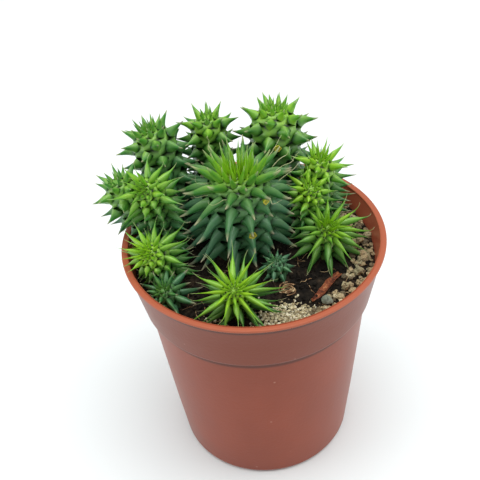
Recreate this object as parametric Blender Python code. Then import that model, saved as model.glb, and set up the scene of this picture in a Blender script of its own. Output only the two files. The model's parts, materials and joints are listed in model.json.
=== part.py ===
"""Potted euphorbia: a clump of spiny green stems in a small tapered plastic nursery pot.

Metres, +Z up. The origin is the centre of the flat underside of the pot.
The camera side of the plant is -Y. Run with: blender --background --python part.py
"""

import math
from random import Random

import bmesh
import bpy
from mathutils import Vector

MM = 0.001

# Pot: an 8.5 cm nursery pot, 86 mm high
POT_SIDES = 56
POT_HEIGHT = 86.0
LIP_RADIUS = 42.5
LIP_TOP_WIDTH = 2.1
LIP_HEIGHT = 1.0
COLLAR_TOP_RADIUS = 41.8
COLLAR_LOW_RADIUS = 38.3
COLLAR_LOW_Z = 66.6
BODY_TOP_RADIUS = 36.75
BODY_TOP_Z = 65.2
BASE_RADIUS = 30.6
BASE_ROUNDING = 2.3
WALL = 1.2
FLOOR_Z = 1.4
FLOOR_TOP_Z = 2.7
FOOT_INNER_RADIUS = 24.5
PAD_RADIUS = 9.0
DRAIN_COUNT = 8
DRAIN_RADIUS = 2.4
DRAIN_RING_RADIUS = 17.0

# Soil: fills the pot to about 9 mm under the rim, a little higher at the back
SOIL_SIDES = 40
SOIL_RINGS = 7
SOIL_LEVEL = 77.4
SOIL_BACK_SLOPE = 0.07
SOIL_CROWN = 1.0
SOIL_WAVE = 0.35
GAP = 0.3

# Stems: foot (x, y) on the soil, crown (x, y, z), the way the crown faces, body radius,
# tubercles a ring, spacing of the rings, tubercle length and slimness, their lift in
# degrees at the foot and the shoulder, and how far the neck is buried
STEMS = {
    "main_stem": dict(
        foot=(-3.5, 5.5), crown=(-3.6, 4.6, 110.5), faces=(0, -0.02, 1), body=11.8,
        around=7, step=3.1, tubercle=10.0, slim=0.46, lift=(-6, 12), buried=12.0),
    "stem_back_right": dict(
        foot=(9.5, 28.5), crown=(10.2, 29.0, 114.0), faces=(0.04, 0.06, 1), body=8.6,
        around=6, step=3.0, tubercle=7.4, slim=0.50, lift=(0, 18), buried=8.0),
    "stem_back_middle": dict(
        foot=(-12.0, 29.5), crown=(-12.3, 28.6, 113.0), faces=(-0.05, -0.12, 1), body=5.2,
        around=5, step=2.4, tubercle=5.4, slim=0.50, lift=(0, 18), buried=6.0),
    "stem_back_left": dict(
        foot=(-26.5, 19.5), crown=(-31.3, 23.0, 113.5), faces=(-0.25, 0.0, 1), body=6.9,
        around=6, step=2.8, tubercle=6.8, slim=0.50, lift=(0, 16), buried=7.0),
    "stem_far_left": dict(
        foot=(-32.5, 10.5), crown=(-42.0, 6.2, 105.0), faces=(-0.35, -0.1, 1), body=5.0,
        around=5, step=2.4, tubercle=5.4, slim=0.50, lift=(-6, 14), buried=6.0),
    "stem_left": dict(
        foot=(-28.5, 3.0), crown=(-32.6, -0.5, 105.5), faces=(-0.25, -0.75, 0.7), body=4.2,
        around=5, step=2.1, tubercle=8.2, slim=0.36, lift=(-4, 6), buried=6.0),
    "stem_left_front": dict(
        foot=(-28.0, -8.0), crown=(-33.2, -12.6, 92.0), faces=(-0.35, -0.6, 0.75), body=4.4,
        around=5, step=2.0, tubercle=8.0, slim=0.36, lift=(-6, 6), buried=6.0),
    "stem_left_low": dict(
        foot=(-27.0, -18.0), crown=(-28.8, -20.6, 84.0), faces=(-0.15, -0.4, 1), body=3.1,
        around=4, step=1.8, tubercle=4.8, slim=0.42, lift=(0, 10), buried=4.0),
    "stem_front": dict(
        foot=(-5.5, -24.0), crown=(-6.7, -27.4, 90.6), faces=(0.0, -0.6, 0.8), body=3.9,
        around=5, step=1.9, tubercle=10.6, slim=0.34, lift=(-8, 4), buried=5.0),
    "stem_right": dict(
        foot=(23.0, 0.0), crown=(23.9, -2.4, 88.6), faces=(0.1, -0.5, 0.85), body=4.2,
        around=5, step=1.9, tubercle=10.2, slim=0.34, lift=(-6, 6), buried=5.0),
    "stem_right_back": dict(
        foot=(24.0, 17.0), crown=(23.6, 14.6, 105.5), faces=(0.12, -0.12, 1), body=4.6,
        around=5, step=2.2, tubercle=6.2, slim=0.38, lift=(0, 14), buried=6.0),
    "stem_right_inner": dict(
        foot=(18.0, 8.0), crown=(19.6, 6.0, 97.0), faces=(0.1, -0.6, 0.8), body=3.5,
        around=5, step=1.9, tubercle=7.0, slim=0.38, lift=(0, 8), buried=5.0),
    "stem_low_middle": dict(
        foot=(7.0, -10.5), crown=(6.2, -11.8, 84.4), faces=(-0.05, -0.3, 1), body=2.7,
        around=4, step=1.8, tubercle=3.4, slim=0.46, lift=(0, 10), buried=4.0),
}
NECK_SHARE = 0.74
CROWN_HOLE = 0.2
STEM_GAP = 0.5
CROWN_SHRINK = 0.45
PLAIN_POINT_SHARE = 0.5

# Cyathia, the tiny flowers: the stem each sits on and the place it is near
CYATHIA = {
    "cyathium_right": ("main_stem", (6.0, -5.0, 101.0)),
    "cyathium_front": ("main_stem", (-1.1, -8.5, 96.0)),
    "cyathium_back": ("stem_back_right", (10.1, 21.0, 109.0)),
}
CYATHIUM_LENGTH = 2.2
CYATHIUM_TOP_RADIUS = 0.85
CYATHIUM_FOOT_RADIUS = 0.25

# What lies on the soil: name, place (x, y), radius, flattening
PUMICE = [
    ("pumice_back_right", 32.0, 18.8, 1.8, 0.7),
    ("pumice_right_upper", 34.6, 1.6, 2.0, 0.8),
    ("pumice_right_middle", 34.7, -4.6, 1.7, 0.8),
    ("pumice_right_lower", 32.4, -12.2, 2.1, 0.75),
    ("pumice_front_right", 27.4, -18.2, 1.8, 0.8),
    ("pumice_back_low", 24.6, 26.2, 1.6, 0.8),
]
PEBBLE = ("pebble", 21.0, -24.0, 2.3, 0.62)
GRIT = [
    ("grit_1", 1.6, -34.6, 0.95, 0.8), ("grit_2", 4.6, -34.9, 0.85, 0.9),
    ("grit_3", 6.4, -32.6, 1.0, 0.8), ("grit_4", 9.6, -34.7, 0.9, 0.8),
    ("grit_5", 11.6, -31.4, 1.05, 0.8), ("grit_6", 8.2, -29.2, 0.85, 0.9),
    ("grit_7", 14.2, -33.4, 0.8, 0.9), ("grit_8", -20.2, -28.6, 1.1, 0.7),
    ("grit_9", -15.6, -31.4, 1.0, 0.8),
]
BARK_ENDS = ((16.2, -22.6), (27.0, -12.0))
BARK_WIDTH = 2.6
BARK_THICKNESS = 0.8
ROOT_PLACE = (9.2, -18.2)
ROOT_RADIUS = 1.7
ROOT_THICKNESS = 0.45
RANDOM_SEED = 7

MATERIALS = {
    "pot_plastic": ((0.34, 0.105, 0.062), 0.42),
    "potting_soil": ((0.030, 0.020, 0.014), 0.95),
    "old_stem": ((0.045, 0.19, 0.045), 0.38),
    "young_stem": ((0.14, 0.38, 0.03), 0.38),
    "flower": ((0.55, 0.55, 0.06), 0.5),
    "pumice": ((0.52, 0.44, 0.30), 0.9),
    "grit": ((0.70, 0.62, 0.42), 0.85),
    "stone": ((0.27, 0.28, 0.22), 0.8),
    "bark": ((0.30, 0.10, 0.035), 0.75),
}


def clear_scene():
    for obj in list(bpy.data.objects):
        bpy.data.objects.remove(obj, do_unlink=True)


def material(name):
    """The named material, made the first time it is asked for."""
    found = bpy.data.materials.get(name)
    if found:
        return found
    colour, roughness = MATERIALS[name]
    found = bpy.data.materials.new(name)
    found.use_nodes = True
    shader = found.node_tree.nodes["Principled BSDF"]
    shader.inputs["Base Color"].default_value = (*colour, 1)
    shader.inputs["Roughness"].default_value = roughness
    shader.inputs["Metallic"].default_value = 0
    return found


def add_object(name, mesh_builder, material_name, smooth_angle=35):
    """Turns a bmesh in millimetres into a named object in metres."""
    bmesh.ops.recalc_face_normals(mesh_builder, faces=mesh_builder.faces)
    bmesh.ops.scale(mesh_builder, vec=(MM, MM, MM), verts=mesh_builder.verts)
    mesh = bpy.data.meshes.new(name)
    mesh_builder.to_mesh(mesh)
    mesh_builder.free()
    mesh.shade_smooth()
    mesh.set_sharp_from_angle(angle=math.radians(smooth_angle))
    mesh.materials.append(material(material_name))
    obj = bpy.data.objects.new(name, mesh)
    bpy.context.scene.collection.objects.link(obj)
    return obj


def turned(profile, sides):
    """A bmesh turned about Z from a profile of (radius, height) that starts and ends on the axis."""
    made = bmesh.new()
    line = [made.verts.new((radius, 0, height)) for radius, height in profile]
    edges = [made.edges.new(pair) for pair in zip(line, line[1:])]
    bmesh.ops.spin(
        made, geom=line + edges, cent=(0, 0, 0), axis=(0, 0, 1),
        angle=2 * math.pi, steps=sides, use_merge=True)
    bmesh.ops.remove_doubles(made, verts=made.verts, dist=1e-4)
    return made


def cut(obj, cutters):
    """Takes each cutter out of the object and hides the cutter."""
    for cutter in cutters:
        cutter.hide_render = True
        cutter.display_type = "WIRE"
        boolean = obj.modifiers.new("cut_" + cutter.name, "BOOLEAN")
        boolean.operation = "DIFFERENCE"
        boolean.solver = "EXACT"
        boolean.object = cutter


def plug(name, x, y, low, high, radius, sides=10):
    """A round cutter standing at (x, y), whose flats lie at the given radius."""
    made = bmesh.new()
    corner = radius / math.cos(math.pi / sides)
    bmesh.ops.create_cone(
        made, cap_ends=True, segments=sides, radius1=corner, radius2=corner, depth=high - low)
    bmesh.ops.translate(made, vec=(x, y, (low + high) / 2), verts=made.verts)
    return add_object(name, made, "potting_soil")


def outer_radius(z):
    """Radius of the pot's outside at a height, on the collar or on the tapered body."""
    if z >= COLLAR_LOW_Z:
        share = (z - COLLAR_LOW_Z) / (POT_HEIGHT - LIP_HEIGHT - COLLAR_LOW_Z)
        return COLLAR_LOW_RADIUS + share * (COLLAR_TOP_RADIUS - COLLAR_LOW_RADIUS)
    share = max(z, 0) / BODY_TOP_Z
    return BASE_RADIUS + min(share, 1) * (BODY_TOP_RADIUS - BASE_RADIUS)


def inner_radius(z):
    """Radius of the pot's inside at a height: one wall less than the outside."""
    return outer_radius(min(z, POT_HEIGHT - LIP_HEIGHT)) - WALL


def build_pot():
    rounding = [
        (BASE_RADIUS - BASE_ROUNDING * (1 - math.sin(angle)),
         BASE_ROUNDING * (1 - math.cos(angle)))
        for angle in (math.radians(a) for a in (0, 30, 60, 90))
    ]
    lip_inner = LIP_RADIUS - LIP_TOP_WIDTH
    lip_edge = 0.3
    profile = [
        (0, 0), (PAD_RADIUS, 0), (PAD_RADIUS + 1, FLOOR_Z),
        (FOOT_INNER_RADIUS - 1, FLOOR_Z), (FOOT_INNER_RADIUS, 0),
        *rounding,
        (BODY_TOP_RADIUS, BODY_TOP_Z),
        (COLLAR_LOW_RADIUS, COLLAR_LOW_Z),
        (COLLAR_TOP_RADIUS, POT_HEIGHT - LIP_HEIGHT),
        (LIP_RADIUS, POT_HEIGHT - LIP_HEIGHT + lip_edge),
        (LIP_RADIUS, POT_HEIGHT - lip_edge),
        (LIP_RADIUS - lip_edge, POT_HEIGHT),
        (lip_inner + lip_edge, POT_HEIGHT),
        (inner_radius(POT_HEIGHT - LIP_HEIGHT), POT_HEIGHT - LIP_HEIGHT),
        (inner_radius(COLLAR_LOW_Z), COLLAR_LOW_Z),
        (BODY_TOP_RADIUS - WALL, BODY_TOP_Z),
        (inner_radius(FLOOR_TOP_Z), FLOOR_TOP_Z + 1),
        (inner_radius(FLOOR_TOP_Z) - 1, FLOOR_TOP_Z),
        (0, FLOOR_TOP_Z),
    ]
    pot = add_object("pot", turned(profile, POT_SIDES), "pot_plastic")
    drains = []
    for index in range(DRAIN_COUNT):
        angle = 2 * math.pi * (index + 0.5) / DRAIN_COUNT
        x, y = DRAIN_RING_RADIUS * math.cos(angle), DRAIN_RING_RADIUS * math.sin(angle)
        name = f"drain_cutter_{index + 1}"
        drains.append(plug(name, x, y, -1, FLOOR_TOP_Z + 1, DRAIN_RADIUS, 12))
    cut(pot, drains)
    return pot


def soil_height(x, y):
    """Height of the soil: a low mound, higher at the back, with slow waves."""
    mound = 1 - (x * x + y * y) / inner_radius(SOIL_LEVEL) ** 2
    wave = math.sin(0.45 * x + 1.0) * math.cos(0.4 * y)
    return SOIL_LEVEL + SOIL_BACK_SLOPE * y + SOIL_CROWN * mound + SOIL_WAVE * wave


def build_soil():
    top_radius = inner_radius(SOIL_LEVEL) - GAP
    low = FLOOR_TOP_Z + GAP
    profile = [
        (0, low), (inner_radius(FLOOR_TOP_Z) - 1.2, low),
        (inner_radius(FLOOR_TOP_Z + 1.5) - GAP, FLOOR_TOP_Z + 1.5),
        (BODY_TOP_RADIUS - WALL - GAP, BODY_TOP_Z + GAP),
        (inner_radius(COLLAR_LOW_Z) - GAP, COLLAR_LOW_Z + GAP),
    ]
    shoulder = len(profile)
    profile += [
        (top_radius * (1 - ring / SOIL_RINGS), SOIL_LEVEL) for ring in range(SOIL_RINGS + 1)
    ]
    made = turned(profile, SOIL_SIDES)
    for vert in made.verts:
        if vert.co.z > profile[shoulder - 1][1] + 1:
            vert.co.z = soil_height(vert.co.x, vert.co.y)
            reach = math.hypot(vert.co.x, vert.co.y)
            if reach > top_radius - 0.5:
                fit = (inner_radius(vert.co.z) - GAP) / reach
                vert.co.x *= fit
                vert.co.y *= fit
    soil = add_object("soil", made, "potting_soil")
    pockets = []
    for name, stem in STEMS.items():
        x, y = stem["foot"]
        ground = soil_height(x, y)
        neck = stem["body"] * NECK_SHARE
        pockets.append(plug(
            "pocket_" + name, x, y, ground - stem["buried"] - GAP, ground + 4, neck + GAP))
    cut(soil, pockets)
    return soil


class StemAxis:
    """The middle line of a stem, from the soil to the tip of its crown, with a frame along it."""

    def __init__(self, stem, steps=40):
        x, y = stem["foot"]
        start = Vector((x, y, soil_height(x, y)))
        end = Vector(stem["crown"])
        facing = Vector(stem["faces"]).normalized()
        reach = (end - start).length
        bends = (start + Vector((0, 0, reach * 0.35)), end - facing * reach * 0.4)
        self.points = []
        for index in range(steps + 1):
            t = index / steps
            self.points.append(
                start * (1 - t) ** 3 + bends[0] * 3 * t * (1 - t) ** 2
                + bends[1] * 3 * t * t * (1 - t) + end * t ** 3)
        self.lengths = [0.0]
        for a, b in zip(self.points, self.points[1:]):
            self.lengths.append(self.lengths[-1] + (b - a).length)
        self.length = self.lengths[-1]

    def at(self, along):
        """The point on the axis, and its up, right and forward directions."""
        index = 0
        while index < len(self.lengths) - 2 and self.lengths[index + 1] < along:
            index += 1
        share = (along - self.lengths[index]) / (self.lengths[index + 1] - self.lengths[index])
        point = self.points[index].lerp(self.points[index + 1], share)
        up = (self.points[index + 1] - self.points[index]).normalized()
        right = Vector((0, 1, 0)).cross(up).normalized()
        return point, up, right, up.cross(right)


def body_profile(stem, length):
    """Samples of (distance along the axis, radius) from the neck to the tip of the dome."""
    body = stem["body"]
    dome = min(body * 1.05, length * 0.6)
    samples = []
    count = 160
    for index in range(count + 1):
        along = length * index / count
        swell = min(1.0, along / max(length - dome, 2.0))
        radius = body * (NECK_SHARE + (1 - NECK_SHARE) * math.sin(swell * math.pi / 2))
        if along > length - dome:
            radius = body * math.sqrt(max(0.0, 1 - ((along - length + dome) / dome) ** 2))
        samples.append((along, radius))
    return samples


def ring_places(stem, length):
    """(distance along the axis, radius, tilt of the surface) of each ring of valley corners."""
    samples = body_profile(stem, length)
    body = stem["body"]
    places = []
    walked, due = 0.0, 1.0
    for (a0, r0), (a1, r1) in zip(samples, samples[1:]):
        walked += math.hypot(a1 - a0, r1 - r0)
        if walked >= due and a0 > 0:
            if r1 < body * CROWN_HOLE:
                break
            places.append((a1, r1, math.atan2(r0 - r1, a1 - a0)))
            due = walked + stem["step"] * max(r1 / body, 0.3)
    return places


def barriers(name):
    """Half spaces (point, outward normal) that keep a stem off each neighbour."""
    mine = StemAxis(STEMS[name], 12)
    walls = []
    for other, stem in STEMS.items():
        if other == name:
            continue
        theirs = StemAxis(stem, 12)
        near = min(
            ((b - a).length, a, b) for a in map(Vector, mine.points) for b in theirs.points)
        distance, a, b = near[0], near[1], near[2]
        share = STEMS[name]["body"] / (STEMS[name]["body"] + stem["body"])
        normal = (b - a).normalized()
        walls.append((a + normal * (distance * share - STEM_GAP / 2), normal))
    return walls


def clears_pot(point):
    """Whether a point is inside the pot's opening or above its lip."""
    reach = math.hypot(point.x, point.y)
    lowest = POT_HEIGHT + 0.6
    return point.z > lowest or reach < inner_radius(point.z) - 0.7


def is_free(point, walls):
    if any((point - q).dot(normal) > 0 for q, normal in walls):
        return False
    return clears_pot(point) and point.z > soil_height(point.x, point.y) + 0.45


def pulled_in(anchor, point, walls, witnesses=()):
    """The point moved towards its anchor until it, and the lines to it, are free."""
    for step in range(24):
        tried = anchor.lerp(point, 1 - step / 24)
        lines = [start.lerp(tried, t / 6) for start in witnesses for t in range(2, 7)]
        if is_free(tried, walls) and all(is_free(p, walls) for p in lines):
            return tried
    return anchor.lerp(point, 0.04)


def build_stem(name):
    """A domed body covered by diamond cells, each drawn out into a pointed tubercle."""
    stem = STEMS[name]
    axis = StemAxis(stem)
    walls = barriers(name)
    around = stem["around"]
    places = ring_places(stem, axis.length)
    made = bmesh.new()
    rings = []
    for index, (along, radius, _) in enumerate(places):
        middle, up, right, forward = axis.at(along)
        ring = []
        for column in range(around):
            angle = 2 * math.pi * (column + 0.5 * (index % 2)) / around
            outward = right * math.cos(angle) + forward * math.sin(angle)
            ring.append(made.verts.new(pulled_in(middle, middle + outward * radius, walls)))
        rings.append(ring)
    for index in range(1, len(rings) - 1):
        along, radius, tilt = places[index]
        middle, up, right, forward = axis.at(along)
        height_share = index / (len(rings) - 1)
        for column in range(around):
            shift = index % 2
            corners = (
                rings[index][column],
                rings[index - 1][(column + shift) % around],
                rings[index][(column + 1) % around],
                rings[index + 1][(column + shift) % around],
            )
            angle = 2 * math.pi * (column + 0.5 + 0.5 * shift) / around
            outward = right * math.cos(angle) + forward * math.sin(angle)
            low_lift, high_lift = stem["lift"]
            lift = math.radians(low_lift + (high_lift - low_lift) * height_share)
            rise = min(tilt + lift, math.radians(88))
            heading = outward * math.cos(rise) + up * math.sin(rise)
            shrink = 1 - CROWN_SHRINK * max(0.0, (tilt / (math.pi / 2)) ** 3)
            length = stem["tubercle"] * shrink
            plain = radius < stem["body"] * PLAIN_POINT_SHARE
            add_tubercle(made, corners, heading, length, stem["slim"], walls, plain)
    close_ends(made, rings, axis, stem)
    return add_object(name, made, stem_material(stem), 50)


def add_tubercle(made, corners, heading, length, slim, walls, plain):
    """Fills one diamond cell with a tubercle: a narrowing base and a long point.

    A plain one, in the crowded crown, goes straight to its point.
    """
    base = sum((corner.co for corner in corners), Vector()) / 4
    edges = [corner.co.copy() for corner in corners]
    tip_place = pulled_in(base, base + heading * length, walls, edges)
    tip = made.verts.new(tip_place)
    if plain:
        for index in range(4):
            made.faces.new((corners[index], corners[(index + 1) % 4], tip))
        return
    reach = (tip_place - base).length
    narrow = []
    for corner in corners:
        inward = base.lerp(corner.co, slim) + heading * reach * 0.36
        narrow.append(made.verts.new(inward))
    for index in range(4):
        after = (index + 1) % 4
        made.faces.new((corners[index], corners[after], narrow[after], narrow[index]))
        made.faces.new((narrow[index], narrow[after], tip))


def close_ends(made, rings, axis, stem):
    """The neck that goes down into the soil and the small cap in the middle of the crown."""
    around = stem["around"]
    x, y = stem["foot"]
    bottom = soil_height(x, y) - stem["buried"]
    neck_radius = stem["body"] * NECK_SHARE
    low = []
    for column in range(around):
        angle = 2 * math.pi * column / around
        _, up, right, forward = axis.at(0)
        place = Vector((x, y, bottom)) + (
            right * math.cos(angle) + forward * math.sin(angle)) * neck_radius * 0.9
        low.append(made.verts.new((place.x, place.y, bottom)))
    made.faces.new(low[::-1])
    for column in range(around):
        after = (column + 1) % around
        made.faces.new((low[column], low[after], rings[0][after], rings[0][column]))
        made.faces.new((rings[0][column], rings[0][after], rings[1][column]))
    last = len(rings) - 1
    shift = last % 2
    for column in range(around):
        after = (column + 1) % around
        below = rings[last - 1][(column + shift) % around]
        made.faces.new((rings[last][column], below, rings[last][after]))
    tip = made.verts.new(axis.points[-1])
    for column in range(around):
        after = (column + 1) % around
        made.faces.new((rings[last][column], rings[last][after], tip))


def stem_material(stem):
    return "young_stem" if stem["slim"] < 0.4 else "old_stem"


def build_cyathium(name):
    """A tiny five-sided cup on a short stalk, standing in a valley between tubercles."""
    stem_name, wanted = CYATHIA[name]
    stem = STEMS[stem_name]
    axis = StemAxis(stem)
    around = stem["around"]
    best = None
    for index, (along, radius, tilt) in enumerate(ring_places(stem, axis.length)):
        middle, up, right, forward = axis.at(along)
        for column in range(around):
            angle = 2 * math.pi * (column + 0.5 * (index % 2)) / around
            outward = right * math.cos(angle) + forward * math.sin(angle)
            place = middle + outward * radius
            away = (place - Vector(wanted)).length
            if best is None or away < best[0]:
                best = (away, place, outward * math.cos(tilt) + up * math.sin(tilt))
    _, place, normal = best
    made = bmesh.new()
    bmesh.ops.create_cone(
        made, cap_ends=True, segments=5, radius1=CYATHIUM_FOOT_RADIUS,
        radius2=CYATHIUM_TOP_RADIUS, depth=CYATHIUM_LENGTH)
    turn = Vector((0, 0, 1)).rotation_difference(normal).to_matrix()
    bmesh.ops.rotate(made, verts=made.verts, matrix=turn)
    centre = place + normal * (CYATHIUM_LENGTH / 2 + 0.75)
    bmesh.ops.translate(made, vec=centre, verts=made.verts)
    return add_object(name, made, "flower")


def build_lump(name, x, y, radius, flat, material_name, rng):
    """A rough little stone that rests on the soil."""
    made = bmesh.new()
    bmesh.ops.create_icosphere(made, subdivisions=1, radius=radius)
    stretch = 1 + 0.25 * rng.random()
    turn = rng.random() * math.pi
    for vert in made.verts:
        vert.co *= 0.88 + 0.12 * rng.random()
        vert.co.x *= stretch * 0.9
        vert.co.z *= flat
    for vert in made.verts:
        vx, vy = vert.co.x, vert.co.y
        vert.co.x = vx * math.cos(turn) - vy * math.sin(turn)
        vert.co.y = vx * math.sin(turn) + vy * math.cos(turn)
    lift = max(
        soil_height(x + vert.co.x, y + vert.co.y) - vert.co.z for vert in made.verts)
    bmesh.ops.translate(made, vec=(x, y, lift + GAP), verts=made.verts)
    return add_object(name, made, material_name)


def build_bark():
    """A thin curved sliver of bark that lies on the soil."""
    (x0, y0), (x1, y1) = BARK_ENDS
    along = Vector((x1 - x0, y1 - y0, 0))
    side = Vector((-along.y, along.x, 0)).normalized()
    shape = ((0, 0.25), (0.15, 0.7), (0.4, 1.0), (0.62, 0.85), (0.82, 0.6), (1, 0.2))
    made = bmesh.new()
    loops = []
    for share, width in shape:
        middle = Vector((x0, y0, 0)) + along * share
        middle += side * 1.1 * math.sin(share * math.pi)
        half = BARK_WIDTH * width / 2
        loop = []
        for across, height in ((-1, 0), (1, 0), (0.8, 1), (-0.8, 1)):
            place = middle + side * across * half
            ground = soil_height(place.x, place.y) + GAP + 0.5 * share
            loop.append(made.verts.new((place.x, place.y, ground + height * BARK_THICKNESS)))
        loops.append(loop)
    for before, after in zip(loops, loops[1:]):
        for corner in range(4):
            nxt = (corner + 1) % 4
            made.faces.new((before[corner], before[nxt], after[nxt], after[corner]))
    made.faces.new(loops[0][::-1])
    made.faces.new(loops[-1])
    return add_object("bark_sliver", made, "bark")


def build_root():
    """A curled bit of dry root: three quarters of a small ring lying on the soil."""
    x, y = ROOT_PLACE
    sides, steps = 6, 10
    made = bmesh.new()
    loops = []
    for index in range(steps + 1):
        angle = math.radians(-30 + 250 * index / steps)
        thickness = ROOT_THICKNESS * (1 - 0.4 * index / steps)
        outward = Vector((math.cos(angle), math.sin(angle), 0))
        middle = Vector((x, y, 0)) + outward * ROOT_RADIUS
        middle.z = soil_height(middle.x, middle.y) + GAP + ROOT_THICKNESS + 0.8 * index / steps
        loop = []
        for side in range(sides):
            roll = 2 * math.pi * side / sides
            offset = outward * math.cos(roll) + Vector((0, 0, 1)) * math.sin(roll)
            loop.append(made.verts.new(middle + offset * thickness))
        loops.append(loop)
    for before, after in zip(loops, loops[1:]):
        for side in range(sides):
            nxt = (side + 1) % sides
            made.faces.new((before[side], before[nxt], after[nxt], after[side]))
    made.faces.new(loops[0][::-1])
    made.faces.new(loops[-1])
    return add_object("root_curl", made, "bark")


def build_all():
    clear_scene()
    build_pot()
    build_soil()
    for name in STEMS:
        build_stem(name)
    for name in CYATHIA:
        build_cyathium(name)
    rng = Random(RANDOM_SEED)
    for lump in PUMICE:
        build_lump(*lump, "pumice", rng)
    build_lump(*PEBBLE, "stone", rng)
    for grain in GRIT:
        build_lump(*grain, "grit", rng)
    build_bark()
    build_root()


build_all()
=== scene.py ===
import json
import math
import random

import bmesh
import bpy
import numpy as np
from mathutils import Matrix, Vector, noise


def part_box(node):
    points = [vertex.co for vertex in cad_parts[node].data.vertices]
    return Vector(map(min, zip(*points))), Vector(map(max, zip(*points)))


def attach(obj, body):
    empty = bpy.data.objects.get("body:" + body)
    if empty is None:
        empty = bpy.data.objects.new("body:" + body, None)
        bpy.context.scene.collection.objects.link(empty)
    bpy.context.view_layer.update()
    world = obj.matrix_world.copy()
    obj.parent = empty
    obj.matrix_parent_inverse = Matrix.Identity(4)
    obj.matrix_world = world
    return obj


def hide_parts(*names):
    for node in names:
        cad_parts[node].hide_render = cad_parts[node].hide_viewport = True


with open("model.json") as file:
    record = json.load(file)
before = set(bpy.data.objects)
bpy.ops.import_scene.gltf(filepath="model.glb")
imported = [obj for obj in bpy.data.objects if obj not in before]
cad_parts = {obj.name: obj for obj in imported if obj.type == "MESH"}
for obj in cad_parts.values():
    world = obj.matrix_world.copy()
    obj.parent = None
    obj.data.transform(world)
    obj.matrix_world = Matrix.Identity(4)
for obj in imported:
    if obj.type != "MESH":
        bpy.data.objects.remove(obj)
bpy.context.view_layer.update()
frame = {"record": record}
mm = 0.001
fullTurn = 2 * math.pi
slotOf = {entry["node"]: entry["material_slot"] for entry in frame["record"]["subparts"]}


def linear(hexColour):
    # sRGB hex to the linear colour that Blender's sockets take
    parts = [int(hexColour[i:i + 2], 16) / 255 for i in (1, 3, 5)]
    return tuple(p / 12.92 if p <= 0.04045 else ((p + 0.055) / 1.055) ** 2.4 for p in parts) + (1,)


def setInputs(tree, node, inputs):
    # Another node's output is linked, a hex colour is made linear, and a number is set as it is
    for name, value in inputs.items():
        if isinstance(value, bpy.types.NodeSocket):
            tree.links.new(value, node.inputs[name])
        else:
            node.inputs[name].default_value = linear(value) if isinstance(value, str) else value


def addNode(tree, kind, inputs=None, stops=(), output=None, **settings):
    # Adds a node with its settings and links; its kind leaves out the word ShaderNode. Returns the
    # output asked for, or else the first live one.
    node = tree.nodes.new("ShaderNode" + kind)
    for name, value in settings.items():
        setattr(node, name, value)
    setInputs(tree, node, inputs or {})
    if stops:
        ramp = node.color_ramp
        while len(ramp.elements) < len(stops):
            ramp.elements.new(0.5)
        for element, (place, colour) in zip(ramp.elements, stops):
            element.position = place
            element.color = linear(colour) if isinstance(colour, str) else (*[colour] * 3, 1)
    return node.outputs[output] if output else next(out for out in node.outputs if out.enabled)


def newMaterial(name, constants):
    # A principled shader with its constant settings. Returns the material, its tree and the shader.
    made = bpy.data.materials.new(name)
    made.use_nodes = True
    shader = made.node_tree.nodes["Principled BSDF"]
    setInputs(made.node_tree, shader, constants)
    return made, made.node_tree, shader


def startClean():
    if bpy.context.object and bpy.context.object.mode != "OBJECT":
        bpy.ops.object.mode_set(mode="OBJECT")
    bpy.ops.object.select_all(action="DESELECT")


def pickOnly(obj):
    startClean()
    obj.select_set(True)
    bpy.context.view_layer.objects.active = obj


def newPiece(name):
    # The primitive that was just added, named
    bpy.context.active_object.name = name
    return bpy.context.active_object


def editAll(obj):
    pickOnly(obj)
    bpy.ops.object.mode_set(mode="EDIT")
    bpy.ops.mesh.select_all(action="SELECT")


def endEdit():
    # Turns all faces outwards and leaves edit mode
    bpy.ops.mesh.select_all(action="SELECT")
    bpy.ops.mesh.normals_make_consistent(inside=False)
    bpy.ops.object.mode_set(mode="OBJECT")


def extrude(step):
    bpy.ops.mesh.extrude_region_move(TRANSFORM_OT_translate={"value": step})


def stackRings(name, sides, count, gap=1, fill="NGON"):
    # A tube of that many rings of corners, with a radius of 1, left in edit mode
    startClean()
    bpy.ops.mesh.primitive_circle_add(vertices=sides, radius=1, fill_type=fill)
    obj = newPiece(name)
    editAll(obj)
    for _ in range(count - 1):
        extrude((0, 0, gap))
    return obj


def pickFaces(sides):
    bpy.ops.mesh.select_mode(type="FACE")
    bpy.ops.mesh.select_all(action="DESELECT")
    bpy.ops.mesh.select_face_by_sides(number=sides)


def pickEdges(obj, isWanted):
    bpy.ops.mesh.select_mode(type="EDGE")
    bpy.ops.mesh.select_all(action="DESELECT")
    mesh = bmesh.from_edit_mesh(obj.data)
    for edge in mesh.edges:
        edge.select_set(isWanted(edge))
    bmesh.update_edit_mesh(obj.data)


def applyModifier(obj, kind, **settings):
    pickOnly(obj)
    bpy.ops.object.modifier_add(type=kind)
    modifier = obj.modifiers[-1]
    for name, value in settings.items():
        setattr(modifier, name, value)
    bpy.ops.object.modifier_apply(modifier=modifier.name)


def joinAll(name, parts):
    startClean()
    for part in parts:
        part.select_set(True)
    bpy.context.view_layer.objects.active = parts[0]
    bpy.ops.object.join()
    return newPiece(name)


def smooth(obj, angle=None):
    pickOnly(obj)
    if angle is None:
        bpy.ops.object.shade_smooth()
    else:
        bpy.ops.object.shade_smooth_by_angle(angle=math.radians(angle))


def storeMark(obj, name, values):
    # A number for each point, which the material reads
    attribute = obj.data.attributes.new(name, "FLOAT", "POINT")
    attribute.data.foreach_set("value", values)


def nodePlace(node):
    # The middle and the half sizes of a CAD node, in mm
    low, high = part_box(node)
    return [(a + b) / 2 / mm for a, b in zip(low, high)], [(b - a) / 2 / mm for a, b in zip(low, high)]


def camel(node):
    words = node.split("_")
    return words[0] + "".join(word.capitalize() for word in words[1:])


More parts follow.
